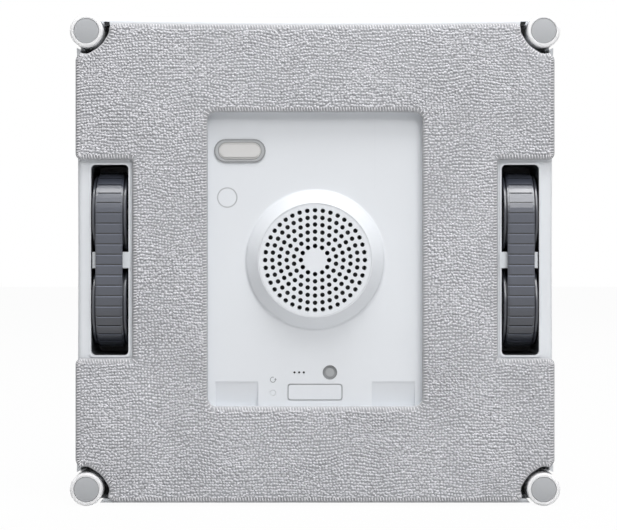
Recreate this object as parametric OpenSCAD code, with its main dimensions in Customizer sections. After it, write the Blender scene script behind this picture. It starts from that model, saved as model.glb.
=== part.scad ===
// Window cleaning robot: a fan behind the round grille holds it to the pane, two belts drive it,
// a roller guides each corner and a microfibre pad wipes.
// The wiping face lies in the plane y = 0 and looks towards -Y. +Z is up and +X is to the right.

/* [Case] */
// Width of the case at its corners
case_w = 230.8; // [226:0.2:234]
// Height of the case
case_h = 234.8; // [230:0.2:235.6]
// Depth of the case, from the wiping face to its flat back
case_depth = 58; // [56:0.5:64]
// Radius of the case's corners
case_corner_r = 6; // [4:0.5:7]
// How far the two sides are drawn in at the middle
side_bow = 0.9; // [0:0.1:2]
// How far the top edge is drawn in at the middle
top_bow = 1.1; // [0:0.1:2]
// Wall of both shells
shell_wall = 2.2; // [1.8:0.1:2.6]
// Rounding of the front edge
front_round = 2.6; // [1.5:0.1:3.2]
// Distance of the joint between the shells from the wiping face
split_y = 24; // [23.5:0.5:27]
// Reach of the back shoulder, inwards
shoulder_in = 16; // [10:0.5:18]
// Reach of the back shoulder, along the depth
shoulder_deep = 14; // [8:0.5:16]
// Groove all round the joint between the shells
split_groove = 0.5; // [0.2:0.1:0.8]

/* [Cleaning pad] */
// Gap between the pad's sides and the sides of the case
pad_side_gap = 0.1; // [0:0.1:2]
// Gap between the pad's top edge and the top of the case
pad_top_gap = 2.9; // [2:0.1:6]
// Gap between the pad's bottom edge and the bottom of the case
pad_bottom_gap = 0.9; // [0.4:0.1:6]
// Thickness of the pad
pad_t = 3.6; // [2.6:0.1:4.2]
// Rounding of the pad's corners
pad_corner_r = 3; // [1:0.5:4]
// Width of the window in the pad
window_w = 103.2; // [98:0.2:106]
// Height of the window above the fan's axis
window_top = 71.1; // [66:0.1:72]
// Height of the window below the fan's axis
window_bottom = 70.3; // [66:0.1:72]
// Corner radius of the window
window_r = 4; // [2:0.5:6]
// Gap between a track's well and the inner edge of its notch in the pad
notch_side_gap = 1.95; // [1.2:0.05:3]
// Gap between a track's well and the ends of its notch in the pad
notch_end_gap = 1.75; // [1.2:0.05:3]
// Height of the notches' middle above the fan's axis
notch_rise = 0.5; // [0:0.1:1]
// Thickness of the hook strips that hold the pad
hook_t = 0.6; // [0.4:0.1:1]
// Width of the hook strips
hook_w = 20; // [12:1:24]

/* [Front panel] */
// Depth of the recessed panel below the land that carries the pad
panel_drop = 3.3; // [2.5:0.1:4]
// Step from the pad's window to the recess
panel_margin = 1; // [0.5:0.1:1.5]
// Width of the two finger ramps
ramp_w = 20.8; // [16:0.2:22]
// Gap between the ramps and the sides of the pad's window
ramp_side_gap = 3.25; // [1:0.05:4]
// Height of the ramps
ramp_h = 12.4; // [8:0.1:14]
// Depth of the step at the ramps' upper edge
ramp_step = 0.3; // [0.1:0.1:0.6]
// Depth of the ramps at the pad's edge
ramp_deep = 2.4; // [1:0.1:2.6]

/* [Suction hub] */
// Diameter of the hub at its front rim
hub_front_d = 56; // [54:0.2:60]
// Reach of the hub's slope, from its front rim to its foot
hub_slope = 5; // [3:0.1:7]
// Rounding at the hub's foot
hub_foot_r = 1.6; // [1:0.1:2.4]
// Gap between the hub's rim and the glass
hub_gap = 1.2; // [0.6:0.1:2]
// Width of the hub's front rim round the grille plate
hub_rim = 1; // [0.8:0.1:2]
// Width of the ledge that carries the grille plate
hub_ledge = 2; // [1:0.1:3]
// Wall of the spigot behind the hub
hub_spigot_wall = 4; // [2:0.1:4.5]
// Length of the spigot behind the panel's back
hub_spigot_len = 2; // [1:0.5:3]
// Thickness of the grille plate
grille_t = 1.6; // [1:0.1:2]
// Diameter of the grille's holes
grille_hole_d = 2.2; // [1.6:0.1:2.3]
// Radius of the innermost ring of holes
grille_first_r = 6.8; // [6.6:0.1:7.4]
// Distance of the outermost ring of holes from the ledge
grille_edge = 1; // [0.9:0.1:2]
// Thickness of the gasket behind the hub
gasket_t = 2; // [1:0.5:3]

/* [Fan] */
// Diameter of the impeller
impeller_d = 52; // [44:1:54]
// Height of the impeller
impeller_h = 11; // [8:0.5:11.5]
// Number of blades
blade_count = 11; // [7:1:13]
// Thickness of a blade
blade_t = 1.2; // [0.8:0.1:1.6]
// Gap between the impeller and the scroll at its tongue
scroll_gap = 3; // [2:0.5:5]
// Growth of the scroll's radius over one turn
scroll_growth = 8; // [4:0.5:9]
// Gap between the impeller and the walls of its chamber
impeller_gap = 1.3; // [1:0.1:2]
// Wall of the fan housing
fan_wall = 1.6; // [1.2:0.1:2]
// Width of the impeller's shroud ring
shroud_w = 7; // [5:0.5:10]
// Reach of the outlet duct above the scroll
outlet_reach = 9; // [4:0.5:14]
// Diameter of the fan motor
fan_motor_d = 30; // [24:1:34]
// Gap between the fan motor and the back shell
fan_motor_gap = 7.3; // [4:0.1:10]
// Diameter of the fan's shaft
fan_shaft_d = 3; // [2:0.5:4]

/* [Corner rollers] */
// How far a roller stands out past the sides of the case
roller_past_side = 2.6; // [1.6:0.1:3]
// How far a roller stands out past the top and bottom of the case
roller_past_end = 0.9; // [0.2:0.1:1.2]
// Diameter of a roller
roller_d = 16; // [15.6:0.1:17]
// Length of a roller
roller_len = 19; // [14:0.5:19.4]
// Gap between a roller's face and the glass
roller_gap = 1; // [0.4:0.1:2]
// Rounding of a roller's rim
roller_rim_r = 1.2; // [0.6:0.1:1.6]
// Wall of a roller round its cap
roller_wall = 2; // [1.8:0.1:3]
// Thickness of a roller's cap
roller_cap_t = 2; // [1.4:0.1:2.4]
// Diameter of a roller's pin
roller_pin_d = 4; // [3:0.5:5]
// Radius of the pocket round a roller
pocket_r = 12.5; // [12:0.1:13]
// How far the pocket's middle lies outwards from the roller's axis
pocket_shift = 1.2; // [0.8:0.1:1.6]
// Gap between a roller and its opening in the case's wall
pocket_gap = 1.3; // [0.8:0.1:1.6]
// Wall of the roller mounts
mount_wall = 1.6; // [1.2:0.1:2]

/* [Tracks] */
// Width of the case outside a track's well
well_margin = 7.35; // [6.9:0.05:8]
// Distance between the two wheel axes of a track
wheelbase = 44; // [42.6:0.2:44.4]
// Outer radius of the belt round a wheel
belt_r = 20.8; // [20.4:0.1:21.2]
// Thickness of the belt, ribs included
belt_t = 2.8; // [2.4:0.1:3.2]
// Width of the belt
belt_w = 12.9; // [11:0.1:13.2]
// Number of ribs on a belt
belt_ribs = 44; // [36:1:52]
// Depth of the grooves between the ribs
rib_depth = 0.9; // [0.4:0.1:1.2]
// Width of the grooves between the ribs
rib_gap = 0.6; // [0.3:0.1:1]
// Width of the smooth strip along each edge of a belt
belt_edge = 0.9; // [0.8:0.1:2]
// How far a belt stands out past the wiping face
belt_proud = 0.8; // [0.3:0.1:1.2]
// Gap between a belt and the rim of its wheels
belt_seat_gap = 0.3; // [0.2:0.05:0.4]
// How far the wheels' flanges stay inside the belt's outer face
flange_drop = 1.4; // [1:0.1:2]
// Thickness of a wheel's flange
flange_t = 1.3; // [0.8:0.1:1.5]
// Diameter of the wheel axles
axle_d = 4; // [3:0.5:5]
// Gap between the wheels and the sides of their well
well_side_gap = 0.9; // [0.7:0.05:1.1]
// Gap between a belt and the ends of its well
well_end_gap = 3.2; // [2:0.1:4]
// Corner radius of the well
well_r = 2.2; // [1:0.1:3]
// Height of the lip round the well
well_lip = 0.5; // [0.2:0.1:0.8]
// Width of the lip round the well
well_lip_w = 0.9; // [0.5:0.1:1.2]
// Wall of the tray round a track
tray_wall = 1.4; // [1:0.1:1.6]
// Height of the bridge across a well
bridge_h = 7.8; // [5:0.1:8]
// Depth of the bridge
bridge_deep = 7.2; // [4:0.1:7.4]

/* [Track drive] */
// Module of the gears
gear_module = 0.8; // [0.78:0.01:0.82]
// Width of a gear's teeth
gear_w = 3.6; // [2.6:0.1:3.8]
// Teeth of the gear on the drive axle
drive_teeth = 30; // [30]
// Teeth of the large intermediate gear
large_teeth = 36; // [36]
// Teeth of the small intermediate gear
small_teeth = 12; // [12]
// Teeth of the motor's pinion
pinion_teeth = 12; // [12]
// Play between meshed teeth, along the pitch circle
backlash = 0.24; // [0.2:0.02:0.3]
// Diameter of a drive motor
motor_d = 24; // [20:1:26]
// Gap between a drive motor's end and the fan housing
motor_end_gap = 8.5; // [6:0.5:14]
// Thickness of the gear bracket
bracket_t = 1.6; // [1.2:0.1:2]

/* [Controls] */
// Distances of the power key from the left and the top of the pad's window
switch_inset = [15.2, 18.3];
// Width and height of the power key's bezel
bezel_size = [25, 11.4];
// Widths of the bezel at the key's ends and at its sides
bezel_frame = [2.2, 1.65];
// Width of the ledge round the key's raised middle
key_ledge = 0.9; // [0.5:0.1:1.2]
// Travel of the power key
key_travel = 1.2; // [0.6:0.1:1.4]
// Distances of the flush plug from the left and the top of the pad's window
plug_inset = [9.1, 40.9];
// Diameter of the flush plug
plug_d = 9.4; // [8:0.1:10]
// Height of the sound holes and the lens above the bottom of the pad's window
sound_rise = 15.8; // [14:0.1:16.5]
// Distance of the middle sound hole from the robot's middle
sound_out = 7.7; // [6:0.1:10]
// Diameter of a sound hole
sound_d = 1.1; // [0.8:0.1:1.4]
// Distance between the sound holes
sound_pitch = 2.25; // [2:0.05:2.6]
// Distance of the edge sensor's lens from the robot's middle
lens_out = 7.2; // [6:0.1:10]
// Diameter of the lens opening
lens_d = 7; // [6:0.1:7.6]
// Height of the port cover's middle above the bottom of the pad's window
port_rise = 6.3; // [5.5:0.1:7]
// Width and height of the port cover
port_size = [26.5, 8];
// Gap round the port cover
port_gap = 0.3; // [0.15:0.05:0.4]
// Height of the reset button above the bottom of the pad's window
reset_rise = 6; // [4:0.1:8]
// Diameter of the reset button
reset_d = 2.6; // [2:0.1:3]
// Travel of the reset button
reset_travel = 0.7; // [0.4:0.1:0.8]

/* [Back] */
// Height of the start button's middle above the bottom of the case
start_rise = 45.4; // [38:0.1:48]
// Diameter of the start button
start_d = 15; // [12:0.5:16]
// Travel of the start button
start_travel = 1; // [0.6:0.1:1.2]
// Diameter of the light ring round the start button
ring_d = 22; // [20:0.5:26]
// Diameter of the exhaust grille
exhaust_d = 76; // [68:1:80]
// Distance of the handle's middle from the top of the case
handle_drop = 41.4; // [38:0.1:45]
// Distance of the handle's ends from the sides of the case
handle_inset = 61.4; // [58:0.1:66]
// How far the handle stands out from the back
handle_out = 16; // [14:0.5:20]
// Width of the handle
handle_w = 17; // [12:0.5:20]
// Thickness of the handle
handle_t = 5; // [4:0.5:6]
// Distances of the power inlet and the rope eyelet from the sides and the top of the case
corner_inset = [35.4, 27.4];
// Diameter of the power inlet's bore
inlet_bore_d = 8.4; // [6:0.1:9]
// Depth of the power inlet's bore
inlet_bore_len = 12; // [8:0.5:13]
// Diameter of the eyelet's hole
eyelet_hole_d = 6; // [4:0.5:7]

/* [Hidden] */
$fn = 96;

// Clearances and overruns that many pieces share
overrun = 1;
running_gap = 0.05;
press_gap = 0.02;
seat_gap = 0.1;
guide_gap = 0.2;
flange_gap = 0.4;

// Depths, counted from the wiping face
land_y = pad_t + hook_t;
floor_y = land_y + shell_wall;
panel_y = land_y + panel_drop;
panel_back = panel_y + shell_wall;
cover_in = case_depth - shell_wall;

// Tracks and wells, set in from the sides of the case
wheel_half = belt_w / 2 + flange_gap + flange_t;
well_w = 2 * (wheel_half + well_side_gap);
well_h = wheelbase + 2 * (belt_r + well_end_gap);
track_x = case_w / 2 - well_margin - well_w / 2;

// Pad, set in from the edges of the case and round the wells
pad_w = case_w - 2 * pad_side_gap;
pad_top = case_h / 2 - pad_top_gap;
pad_bottom = case_h / 2 - pad_bottom_gap;
notch_x = track_x - well_w / 2 - notch_side_gap;
notch_h = well_h + 2 * notch_end_gap;

// Case outline
corner_steps = 6;
edge_steps = 10;
round_steps = 5;
panel_w = window_w + 2 * panel_margin;
panel_top = window_top + panel_margin;
panel_bottom = window_bottom + panel_margin;
panel_h = panel_top + panel_bottom;
panel_rise = (panel_top - panel_bottom) / 2;
window_h = window_top + window_bottom;
window_rise = (window_top - window_bottom) / 2;
corner_min_r = 1;
screw_inset = 15.4;
screw_top_inset = 17.4;
screw_window_gap = 10.4;
screw_well_gap = 20;
screw_x = window_w / 2 + screw_window_gap;
screw_z = well_h / 2 + screw_well_gap;
screw_places = [for (s = [-1, 1]) each [[s * screw_x, case_h / 2 - screw_top_inset],
    [s * screw_x, screw_inset - case_h / 2], [s * (case_w / 2 - screw_inset), screw_z],
    [s * (case_w / 2 - screw_inset), -screw_z]]];
post_r = 4;
screw_r = 1.4;
screw_head_r = 2.8;
screw_head_h = 1.8;
screw_bite = 12;

// Hub and fan stack, one piece behind the other
grille_d = hub_front_d - 2 * hub_rim;
hub_bore_d = grille_d - 2 * hub_ledge;
hub_spigot_d = hub_bore_d + 2 * hub_spigot_wall;
grille_counts = [12, 18, 24, 30, 36, 40];
grille_pitch = (hub_bore_d / 2 - grille_edge - grille_first_r) / (len(grille_counts) - 1);
inlet_d = impeller_d - 2 * shroud_w;
scroll_r = impeller_d / 2 + scroll_gap;
fan_side = scroll_r + scroll_growth + fan_wall;
outlet_z = scroll_r + scroll_growth + outlet_reach;
chamber_h = impeller_h + 2 * impeller_gap;
hub_edge = 0.4;
grille_y = hub_gap + seat_gap;
hub_seat_y = grille_y + grille_t;
hub_back = panel_back + hub_spigot_len;
gasket_back = hub_back + gasket_t;
chamber_y = gasket_back + fan_wall;
chamber_back = chamber_y + chamber_h;
fan_back = chamber_back + fan_wall;
fan_motor_len = cover_in - fan_motor_gap - fan_back;
impeller_y = chamber_y + impeller_gap;
shroud_t = 1.2;
disc_t = 1.5;
shaft_start = impeller_y + shroud_t + shroud_t;
impeller_hub_r = 7;
blade_inner_r = 11;
blade_sweep = 42;
blade_steps = 6;
scroll_step = 10;
motor_hole_r = 6;
shaft_end = fan_back + fan_motor_len - shell_wall;

// Corner rollers
roller_cap_d = roller_d - 2 * roller_wall;
roller_x = case_w / 2 + roller_past_side - roller_d / 2;
roller_z = case_h / 2 + roller_past_end - roller_d / 2;
roller_back = roller_gap + roller_len;
mount_floor_y = roller_back + flange_gap;
shelf_y = mount_floor_y + mount_wall;
pin_front = roller_gap + roller_cap_t + flange_gap;
corners = [[-1, 1], [1, 1], [-1, -1], [1, -1]];

// Tracks
track_y = belt_r - belt_proud;
belt_in_r = belt_r - belt_t;
wheel_r = belt_in_r - belt_seat_gap;
flange_r = belt_r - flange_drop;
axle_r = axle_d / 2;
bush_wall = 1.4;
bush_r = axle_r + running_gap + bush_wall;
bush_lip = 0.6;
belt_bevel = 0.3;
flange_lip = 0.3;
wheel_rim_t = 2.6;
wheel_hub_wall = 4.2;
tray_gap = 0.25;
tray_in = track_x - well_w / 2 - tray_gap;
tray_out = track_x + well_w / 2 + tray_gap;
tray_half_h = well_h / 2 + tray_gap;
tray_belt_gap = 1;
tray_floor_y = track_y + belt_r + tray_belt_gap;
tray_back = tray_floor_y + tray_wall;
tray_face_in = tray_in - tray_wall;
tray_face_out = tray_out + tray_wall;
drive_z = wheelbase / 2;
bridge_proud = 0.8;
bridge_y = land_y - bridge_proud;
bridge_short = 0.8;
bridge_hook = 1.1;

// Track drive, from the tray inwards
gear_gap = 0.8;
drive_gear_out = tray_face_in - gear_gap;
drive_gear_in = drive_gear_out - gear_w;
large_gear_out = drive_gear_in - gear_gap;
large_gear_in = large_gear_out - gear_w;
bracket_out = large_gear_in - gear_gap;
bracket_in = bracket_out - bracket_t;
mesh_angle = -60;
pinion_angle = -90;
drive_axis = [track_y, drive_z];
middle_axis = drive_axis + gear_module * (drive_teeth + small_teeth) / 2 * turned_by(mesh_angle);
motor_axis = middle_axis + gear_module * (large_teeth + pinion_teeth) / 2 * turned_by(pinion_angle);
gear_pin_r = 1.5;
motor_len = bracket_in - fan_side - motor_end_gap;
motor_shaft_r = 1;
motor_boss_r = 4;
motor_shaft_len = 3;
addendum_share = 0.85;
dedendum_share = 1.2;
pressure_angle = 20;
bracket_post_r = 2.4;
bracket_middle_r = 4.8;
post_deep = motor_axis.x + motor_d / 2 + bracket_post_r;
post_shallow = motor_axis.x - motor_d / 2 - bracket_post_r;
bracket_posts = [[post_deep - gear_gap, drive_z + motor_d / 2], [post_shallow, motor_axis.y - motor_d / 2],
    [post_deep, motor_axis.y - motor_d / 2]];

// Controls
ramp_x = window_w / 2 - ramp_side_gap - ramp_w;
switch_at = [switch_inset.x - window_w / 2, window_top - switch_inset.y];
plug_at = [plug_inset.x - window_w / 2, window_top - plug_inset.y];
sound_at = [-sound_out, sound_rise - window_bottom];
lens_at = [lens_out, sound_rise - window_bottom];
port_at = [0, port_rise - window_bottom];
reset_at = [-(ramp_x + port_size.x / 2) / 2, reset_rise - window_bottom];
key_size = bezel_size - 2 * bezel_frame;
bezel_lip = 0.6;
bezel_step = 1;
key_proud = 1.1;
key_len = 5.4;
key_gap = 0.15;
key_step = 0.4;
bezel_floor = 1;
key_y = panel_y - key_proud;
bezel_floor_y = key_y + key_len + key_travel + flange_gap;
inset_deep = 1.4;
board_y = 17;
board_t = 1.6;
board_w = 90;
board_fan_gap = 8.4;
board_end_gap = 14.4;
board_top = fan_side + board_fan_gap;
board_bottom = case_h / 2 - board_end_gap;
board_post_r = 3;
port_r = 1.3;
buzzer_r = 6;
buzzer_gap = 0.3;
lens_deep = 0.6;
lens_t = 2.4;
lens_flange = 1;
lens_disc_share = 0.62;
reset_flange_r = 2;
reset_flange_t = 0.8;
tact_h = 2;
tact_w = 5;
reset_end = board_y - tact_h - reset_travel - seat_gap;

// Back
start_at = [0, start_rise - case_h / 2];
handle_rise = case_h / 2 - handle_drop;
handle_len = case_w - 2 * handle_inset;
inlet_at = [corner_inset.x - case_w / 2, case_h / 2 - corner_inset.y];
eyelet_at = [-inlet_at.x, inlet_at.y];
ring_deep = 1;
ring_proud = 0.4;
start_proud = 1;
start_lip = 1;
start_lip_t = 1;
start_y = cover_in - start_travel - start_lip_t - seat_gap;
button_board_w = 36;
button_board_h = 26;
button_post_r = 2;
button_post_inset = 3;
button_tact_y = start_y - start_travel - seat_gap;
button_board_y = button_tact_y - tact_h - board_t;
exhaust_t = 1.4;
exhaust_rim = 2.5;
exhaust_rings = 5;
exhaust_bar = 2.2;
exhaust_spokes = 12;
inlet_flange_r = 10;
inlet_flange_t = 1.6;
inlet_wall = 2.4;
inlet_barrel_r = inlet_bore_d / 2 + inlet_wall;
eyelet_t = 4;
eyelet_wall = 2.6;
eyelet_r = eyelet_hole_d / 2 + eyelet_wall;
eyelet_foot = [14, 24];
eyelet_foot_t = 2;
eyelet_y = case_depth + eyelet_foot_t + eyelet_hole_d;
handle_stations = 26;
handle_power_share = 0.62;
handle_foot_share = 0.25;

// Inside
battery_len = 72;
battery_gap = 0.3;
battery_room = 4.9;
battery_cell_r = (case_h / 2 - panel_top - 2 * shell_wall - battery_room) / 4;

// Colours
white = "#eef1f3";
pale = "#dfe3e6";
pad_grey = "#c3c5c9";
cap_grey = "#a9abae";
key_grey = "#c8c9c5";
bezel_grey = "#9b9d9f";
rubber = "#5b5e66";
dark = "#3a3c40";
steel = "#b8bcc0";
brass = "#c9a860";
board_green = "#2f6b4a";
wrap_blue = "#3d5a80";

// Unit vector at an angle in the plane of the drawing
function turned_by(a) = [cos(a), sin(a)];

// Points of an edge from a to b that is drawn in by bow at its middle, ends left out
function bowed_edge(a, b, bow) =
    let (side = (b - a) / norm(b - a), inward = [-side.y, side.x])
    [for (i = [1 : edge_steps - 1]) let (t = i / edge_steps)
        a + (b - a) * t + inward * bow * 4 * t * (1 - t)];

// Quarter circle round c that starts at angle a
function corner_arc(c, r, a) = [for (i = [0 : corner_steps]) c + r * turned_by(a + 90 * i / corner_steps)];

// Rounded rectangle that is w wide and h high, round the origin
function rounded_box(w, h, r) =
    [for (k = [0 : 3]) let (s = [k == 0 || k == 3 ? 1 : -1, k < 2 ? 1 : -1])
        each corner_arc([s.x * (w / 2 - r), s.y * (h / 2 - r)], r, 90 * k)];

// Outline of the case, moved inwards by inset
function case_outline(inset) =
    let (w = case_w / 2 - inset, h = case_h / 2 - inset, r = max(case_corner_r - inset, corner_min_r),
        x = w - r, z = h - r)
    concat(corner_arc([x, z], r, 0), bowed_edge([x, h], [-x, h], top_bow), corner_arc([-x, z], r, 90),
        bowed_edge([-w, z], [-w, -z], side_bow), corner_arc([-x, -z], r, 180),
        bowed_edge([-x, -h], [x, -h], 0), corner_arc([x, -z], r, 270),
        bowed_edge([w, -z], [w, z], side_bow));

// Insets and depths of the rings that round the case's front edge and its back shoulder
front_rings = [for (i = [0 : round_steps]) let (a = 90 * i / round_steps)
    [front_round * (1 - sin(a)), land_y + front_round * (1 - cos(a))]];
function shoulder_rings(reach, deep, inset, back) = [for (i = [0 : round_steps + 1])
    let (a = 90 * i / (round_steps + 1)) [inset + reach * (1 - cos(a)), back - deep * (1 - sin(a))]];

// Solid of drawings that lie in the plane of x and z, between two depths
module deep(from, to) {
    translate([0, to, 0]) rotate([90, 0, 0]) linear_extrude(to - from) children();
}

// Solid of drawings that lie in the plane of y and z, between two distances from the middle
module across(from, to) {
    translate([from, 0, 0]) rotate([90, 0, 90]) linear_extrude(to - from) children();
}

// Turned piece whose drawing gives radius and depth
module turned() {
    rotate([-90, 0, 0]) rotate_extrude() children();
}

// Round bar along the depth at a place given by x and z
module bar(at, r, from, to) {
    translate([at.x, from, at.y]) rotate([-90, 0, 0]) cylinder(h = to - from, r = r);
}

// Round bar across the robot at a place given by y and z
module axle(at, r, from, to) {
    translate([from, at.x, at.y]) rotate([0, 90, 0]) cylinder(h = to - from, r = r);
}

// Right or left hand copy of a piece that is drawn on the right
module on_side(side) {
    mirror([side == "left" ? 1 : 0, 0, 0]) children();
}

// Place of a corner's roller, and of the middle of its pocket
function roller_at(c) = [c.x * roller_x, c.y * roller_z];
function pocket_at(c) = [c.x * (roller_x + pocket_shift), c.y * (roller_z + pocket_shift)];

// Roller pocket: an arc that stays inside the case's wall, and the roller's opening through the wall
module pocket(c, inset) {
    intersection() {
        translate(pocket_at(c)) circle(pocket_r);
        polygon(case_outline(inset));
    }
    translate(roller_at(c)) circle(roller_d / 2 + pocket_gap);
}

// Solid through rings of the case outline, each with its inset and depth
module case_loft(rings) {
    n = len(case_outline(0));
    last = len(rings) - 1;
    points = concat([for (ring = rings) each [for (p = case_outline(ring[0])) [p.x, ring[1], p.y]]],
        [[0, rings[0][1], 0], [0, rings[last][1], 0]]);
    sides = [for (i = [0 : last - 1]) each [for (j = [0 : n - 1]) let (k = (j + 1) % n)
        each [[i * n + j, i * n + k, (i + 1) * n + k], [i * n + j, (i + 1) * n + k, (i + 1) * n + j]]]];
    front = [for (j = [0 : n - 1]) [(last + 1) * n, (j + 1) % n, j]];
    back = [for (j = [0 : n - 1]) [(last + 1) * n + 1, last * n + j, last * n + (j + 1) % n]];
    polyhedron(points, concat(sides, front, back));
}

// Window of the pad, or of the recess when grown by a margin
module window(margin) {
    translate([0, window_rise])
        polygon(rounded_box(window_w + 2 * margin, window_h + 2 * margin, window_r));
}

// Opening of a well on the right hand side
module well(margin) {
    translate([track_x, 0]) polygon(rounded_box(well_w + 2 * margin, well_h + 2 * margin, well_r));
}

// Oval with straight sides
module oval(size, grow) {
    polygon(rounded_box(size.x + 2 * grow, size.y + 2 * grow, size.y / 2 + grow - press_gap));
}

// Front shell: land for the pad, recessed panel, wells, roller pockets and posts
module base_shell() color(white) {
    end = [split_groove, split_y];
    rings = concat(front_rings, [[0, split_y - split_groove], end]);
    difference() {
        union() {
            difference() {
                case_loft(rings);
                deep(floor_y, split_y + overrun) polygon(case_outline(shell_wall));
            }
            deep(land_y, panel_back) window(panel_margin + shell_wall);
            intersection() {
                deep(floor_y - seat_gap, split_y) polygon(case_outline(shell_wall / 2));
                union() {
                    for (c = corners) bar(pocket_at(c), pocket_r + mount_wall + seat_gap, shelf_y, split_y);
                    for (p = screw_places) bar(p, post_r, floor_y - seat_gap, split_y);
                }
            }
            for (s = [-1, 1]) for (z = [board_top + board_post_r, board_bottom - board_post_r])
                bar([s * (board_w / 2 - board_post_r), -z], board_post_r, floor_y, board_y);
            for (side = ["left", "right"]) on_side(side) {
                deep(land_y - well_lip, floor_y) well(well_lip_w);
                ramp_backing();
            }
        }
        deep(-overrun, panel_y) window(panel_margin);
        for (side = ["left", "right"]) on_side(side) {
            deep(-overrun, floor_y + overrun) well(0);
            finger_ramp();
        }
        for (c = corners) deep(-overrun, shelf_y) pocket(c, shell_wall);
        for (p = screw_places) {
            bar(p, screw_r + press_gap, 0, split_y + overrun);
            bar(p, screw_head_r + seat_gap, 0, land_y + screw_head_h + seat_gap);
        }
        bar([0, 0], hub_spigot_d / 2 + seat_gap, 0, panel_back + overrun);
        deep(0, panel_back + overrun) translate(switch_at) oval(bezel_size, seat_gap - bezel_step);
        bar(plug_at, plug_d / 2, 0, panel_y + inset_deep);
        bar(lens_at, lens_d / 2, 0, panel_back + overrun);
        bar(reset_at, reset_d / 2 + seat_gap, 0, panel_back + overrun);
        for (i = [-1 : 1]) bar(sound_at + [i * sound_pitch, 0], sound_d / 2, 0, panel_back + overrun);
        deep(0, panel_y + inset_deep) translate(port_at) port_outline(0);
    }
}

// Sloping finger recess at the lower edge of the panel, right hand side
module finger_ramp() {
    across(ramp_x, ramp_x + ramp_w)
        polygon([[panel_y - overrun, ramp_h - panel_bottom], [panel_y + ramp_step, ramp_h - panel_bottom],
            [panel_y + ramp_deep, -panel_bottom], [panel_y - overrun, -panel_bottom]]);
}

// Wall behind the sloping recess
module ramp_backing() {
    across(ramp_x - shell_wall, ramp_x + ramp_w + shell_wall)
        polygon([[floor_y - seat_gap, ramp_h - panel_bottom + shell_wall],
            [panel_back + ramp_step, ramp_h - panel_bottom + shell_wall],
            [panel_back + ramp_deep, -panel_bottom], [panel_back + ramp_deep, -panel_bottom - shell_wall],
            [floor_y - seat_gap, -panel_bottom - shell_wall]]);
}

// Outline of the port cover, smaller by a gap
module port_outline(gap) {
    polygon(rounded_box(port_size.x - 2 * gap, port_size.y - 2 * gap, port_r));
}

// Back shell with its shoulder, posts, fan opening and seats
module top_cover() color(white) {
    outer = concat([[split_groove, split_y], [0, split_y + split_groove]],
        shoulder_rings(shoulder_in, shoulder_deep, 0, case_depth));
    inner = concat([[shell_wall, split_y - overrun]],
        shoulder_rings(shoulder_in - shell_wall, shoulder_deep - shell_wall, shell_wall, cover_in));
    difference() {
        union() {
            difference() {
                case_loft(outer);
                case_loft(inner);
            }
            for (p = screw_places) bar(p, post_r, split_y, cover_in + seat_gap);
            for (s = corners)
                bar(start_at + button_post(s), button_post_r, button_board_y + board_t, cover_in + seat_gap);
            bar([0, 0], exhaust_d / 2 + shell_wall, cover_in - exhaust_t, cover_in + seat_gap);
        }
        for (p = screw_places) bar(p, screw_r + press_gap, split_y - overrun, split_y + screw_bite + overrun);
        bar([0, 0], exhaust_d / 2 - exhaust_rim, split_y, case_depth + overrun);
        bar([0, 0], exhaust_d / 2 + seat_gap, case_depth - exhaust_t, case_depth + overrun);
        bar(start_at, start_d / 2 + guide_gap, split_y, case_depth + overrun);
        bar(start_at, ring_d / 2 + seat_gap, case_depth - ring_deep, case_depth + overrun);
        bar(inlet_at, inlet_barrel_r + seat_gap, split_y, case_depth + overrun);
    }
}

// Place of one of the four posts of the button board
function button_post(s) = [s.x * (button_board_w / 2 - button_post_inset),
    s.y * (button_board_h / 2 - button_post_inset)];

// Microfibre pad with its window, belt notches and arcs round the rollers
module cleaning_pad() color(pad_grey) {
    deep(0, pad_t) pad_drawing();
}

module pad_drawing() {
    difference() {
        offset(r = pad_corner_r, $fn = 32) offset(delta = -pad_corner_r) difference() {
            polygon(concat([[pad_w / 2, -pad_bottom], [pad_w / 2, pad_top]],
                bowed_edge([pad_w / 2, pad_top], [-pad_w / 2, pad_top], top_bow),
                [[-pad_w / 2, pad_top], [-pad_w / 2, -pad_bottom]]));
            for (s = [-1, 1]) translate([s * (notch_x + pad_w / 2), notch_rise])
                square([pad_w, notch_h], center = true);
            for (c = corners) translate(pocket_at(c)) circle(pocket_r);
        }
        window(0);
    }
}

// Strips of hook tape between the land and the pad
module hook_strips() color(pale) {
    band_w = 2 * (pocket_at(corners[1]).x - pocket_r - pad_corner_r);
    top_h = min(hook_w, pad_top - panel_top - 2 * pad_corner_r);
    low_h = min(hook_w, pad_bottom - panel_bottom - 2 * pad_corner_r);
    neck_x = (notch_x + panel_w / 2) / 2;
    neck_w = notch_x - panel_w / 2 - 2 * pad_corner_r;
    deep(pad_t, land_y) {
        translate([-band_w / 2, panel_top + pad_corner_r]) square([band_w, top_h]);
        translate([-band_w / 2, -panel_bottom - pad_corner_r - low_h]) square([band_w, low_h]);
        for (s = [-1, 1]) translate([s * neck_x, 0]) square([neck_w, notch_h], center = true);
    }
}

// Sloping hub round the air passage, seated on the panel
module suction_hub() color(white) {
    front = hub_front_d / 2;
    base = front + hub_slope;
    foot = [for (i = [0 : corner_steps]) let (a = 90 * i / corner_steps)
        [base + hub_foot_r * (1 - cos(a)), panel_y - hub_foot_r * (1 - sin(a))]];
    turned() polygon(concat([[hub_bore_d / 2, hub_seat_y], [grille_d / 2 + seat_gap, hub_seat_y],
        [grille_d / 2 + seat_gap, hub_gap], [front - hub_edge, hub_gap], [front, hub_gap + hub_edge]], foot,
        [[hub_spigot_d / 2, panel_y], [hub_spigot_d / 2, hub_back], [hub_bore_d / 2, hub_back]]));
}

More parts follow.
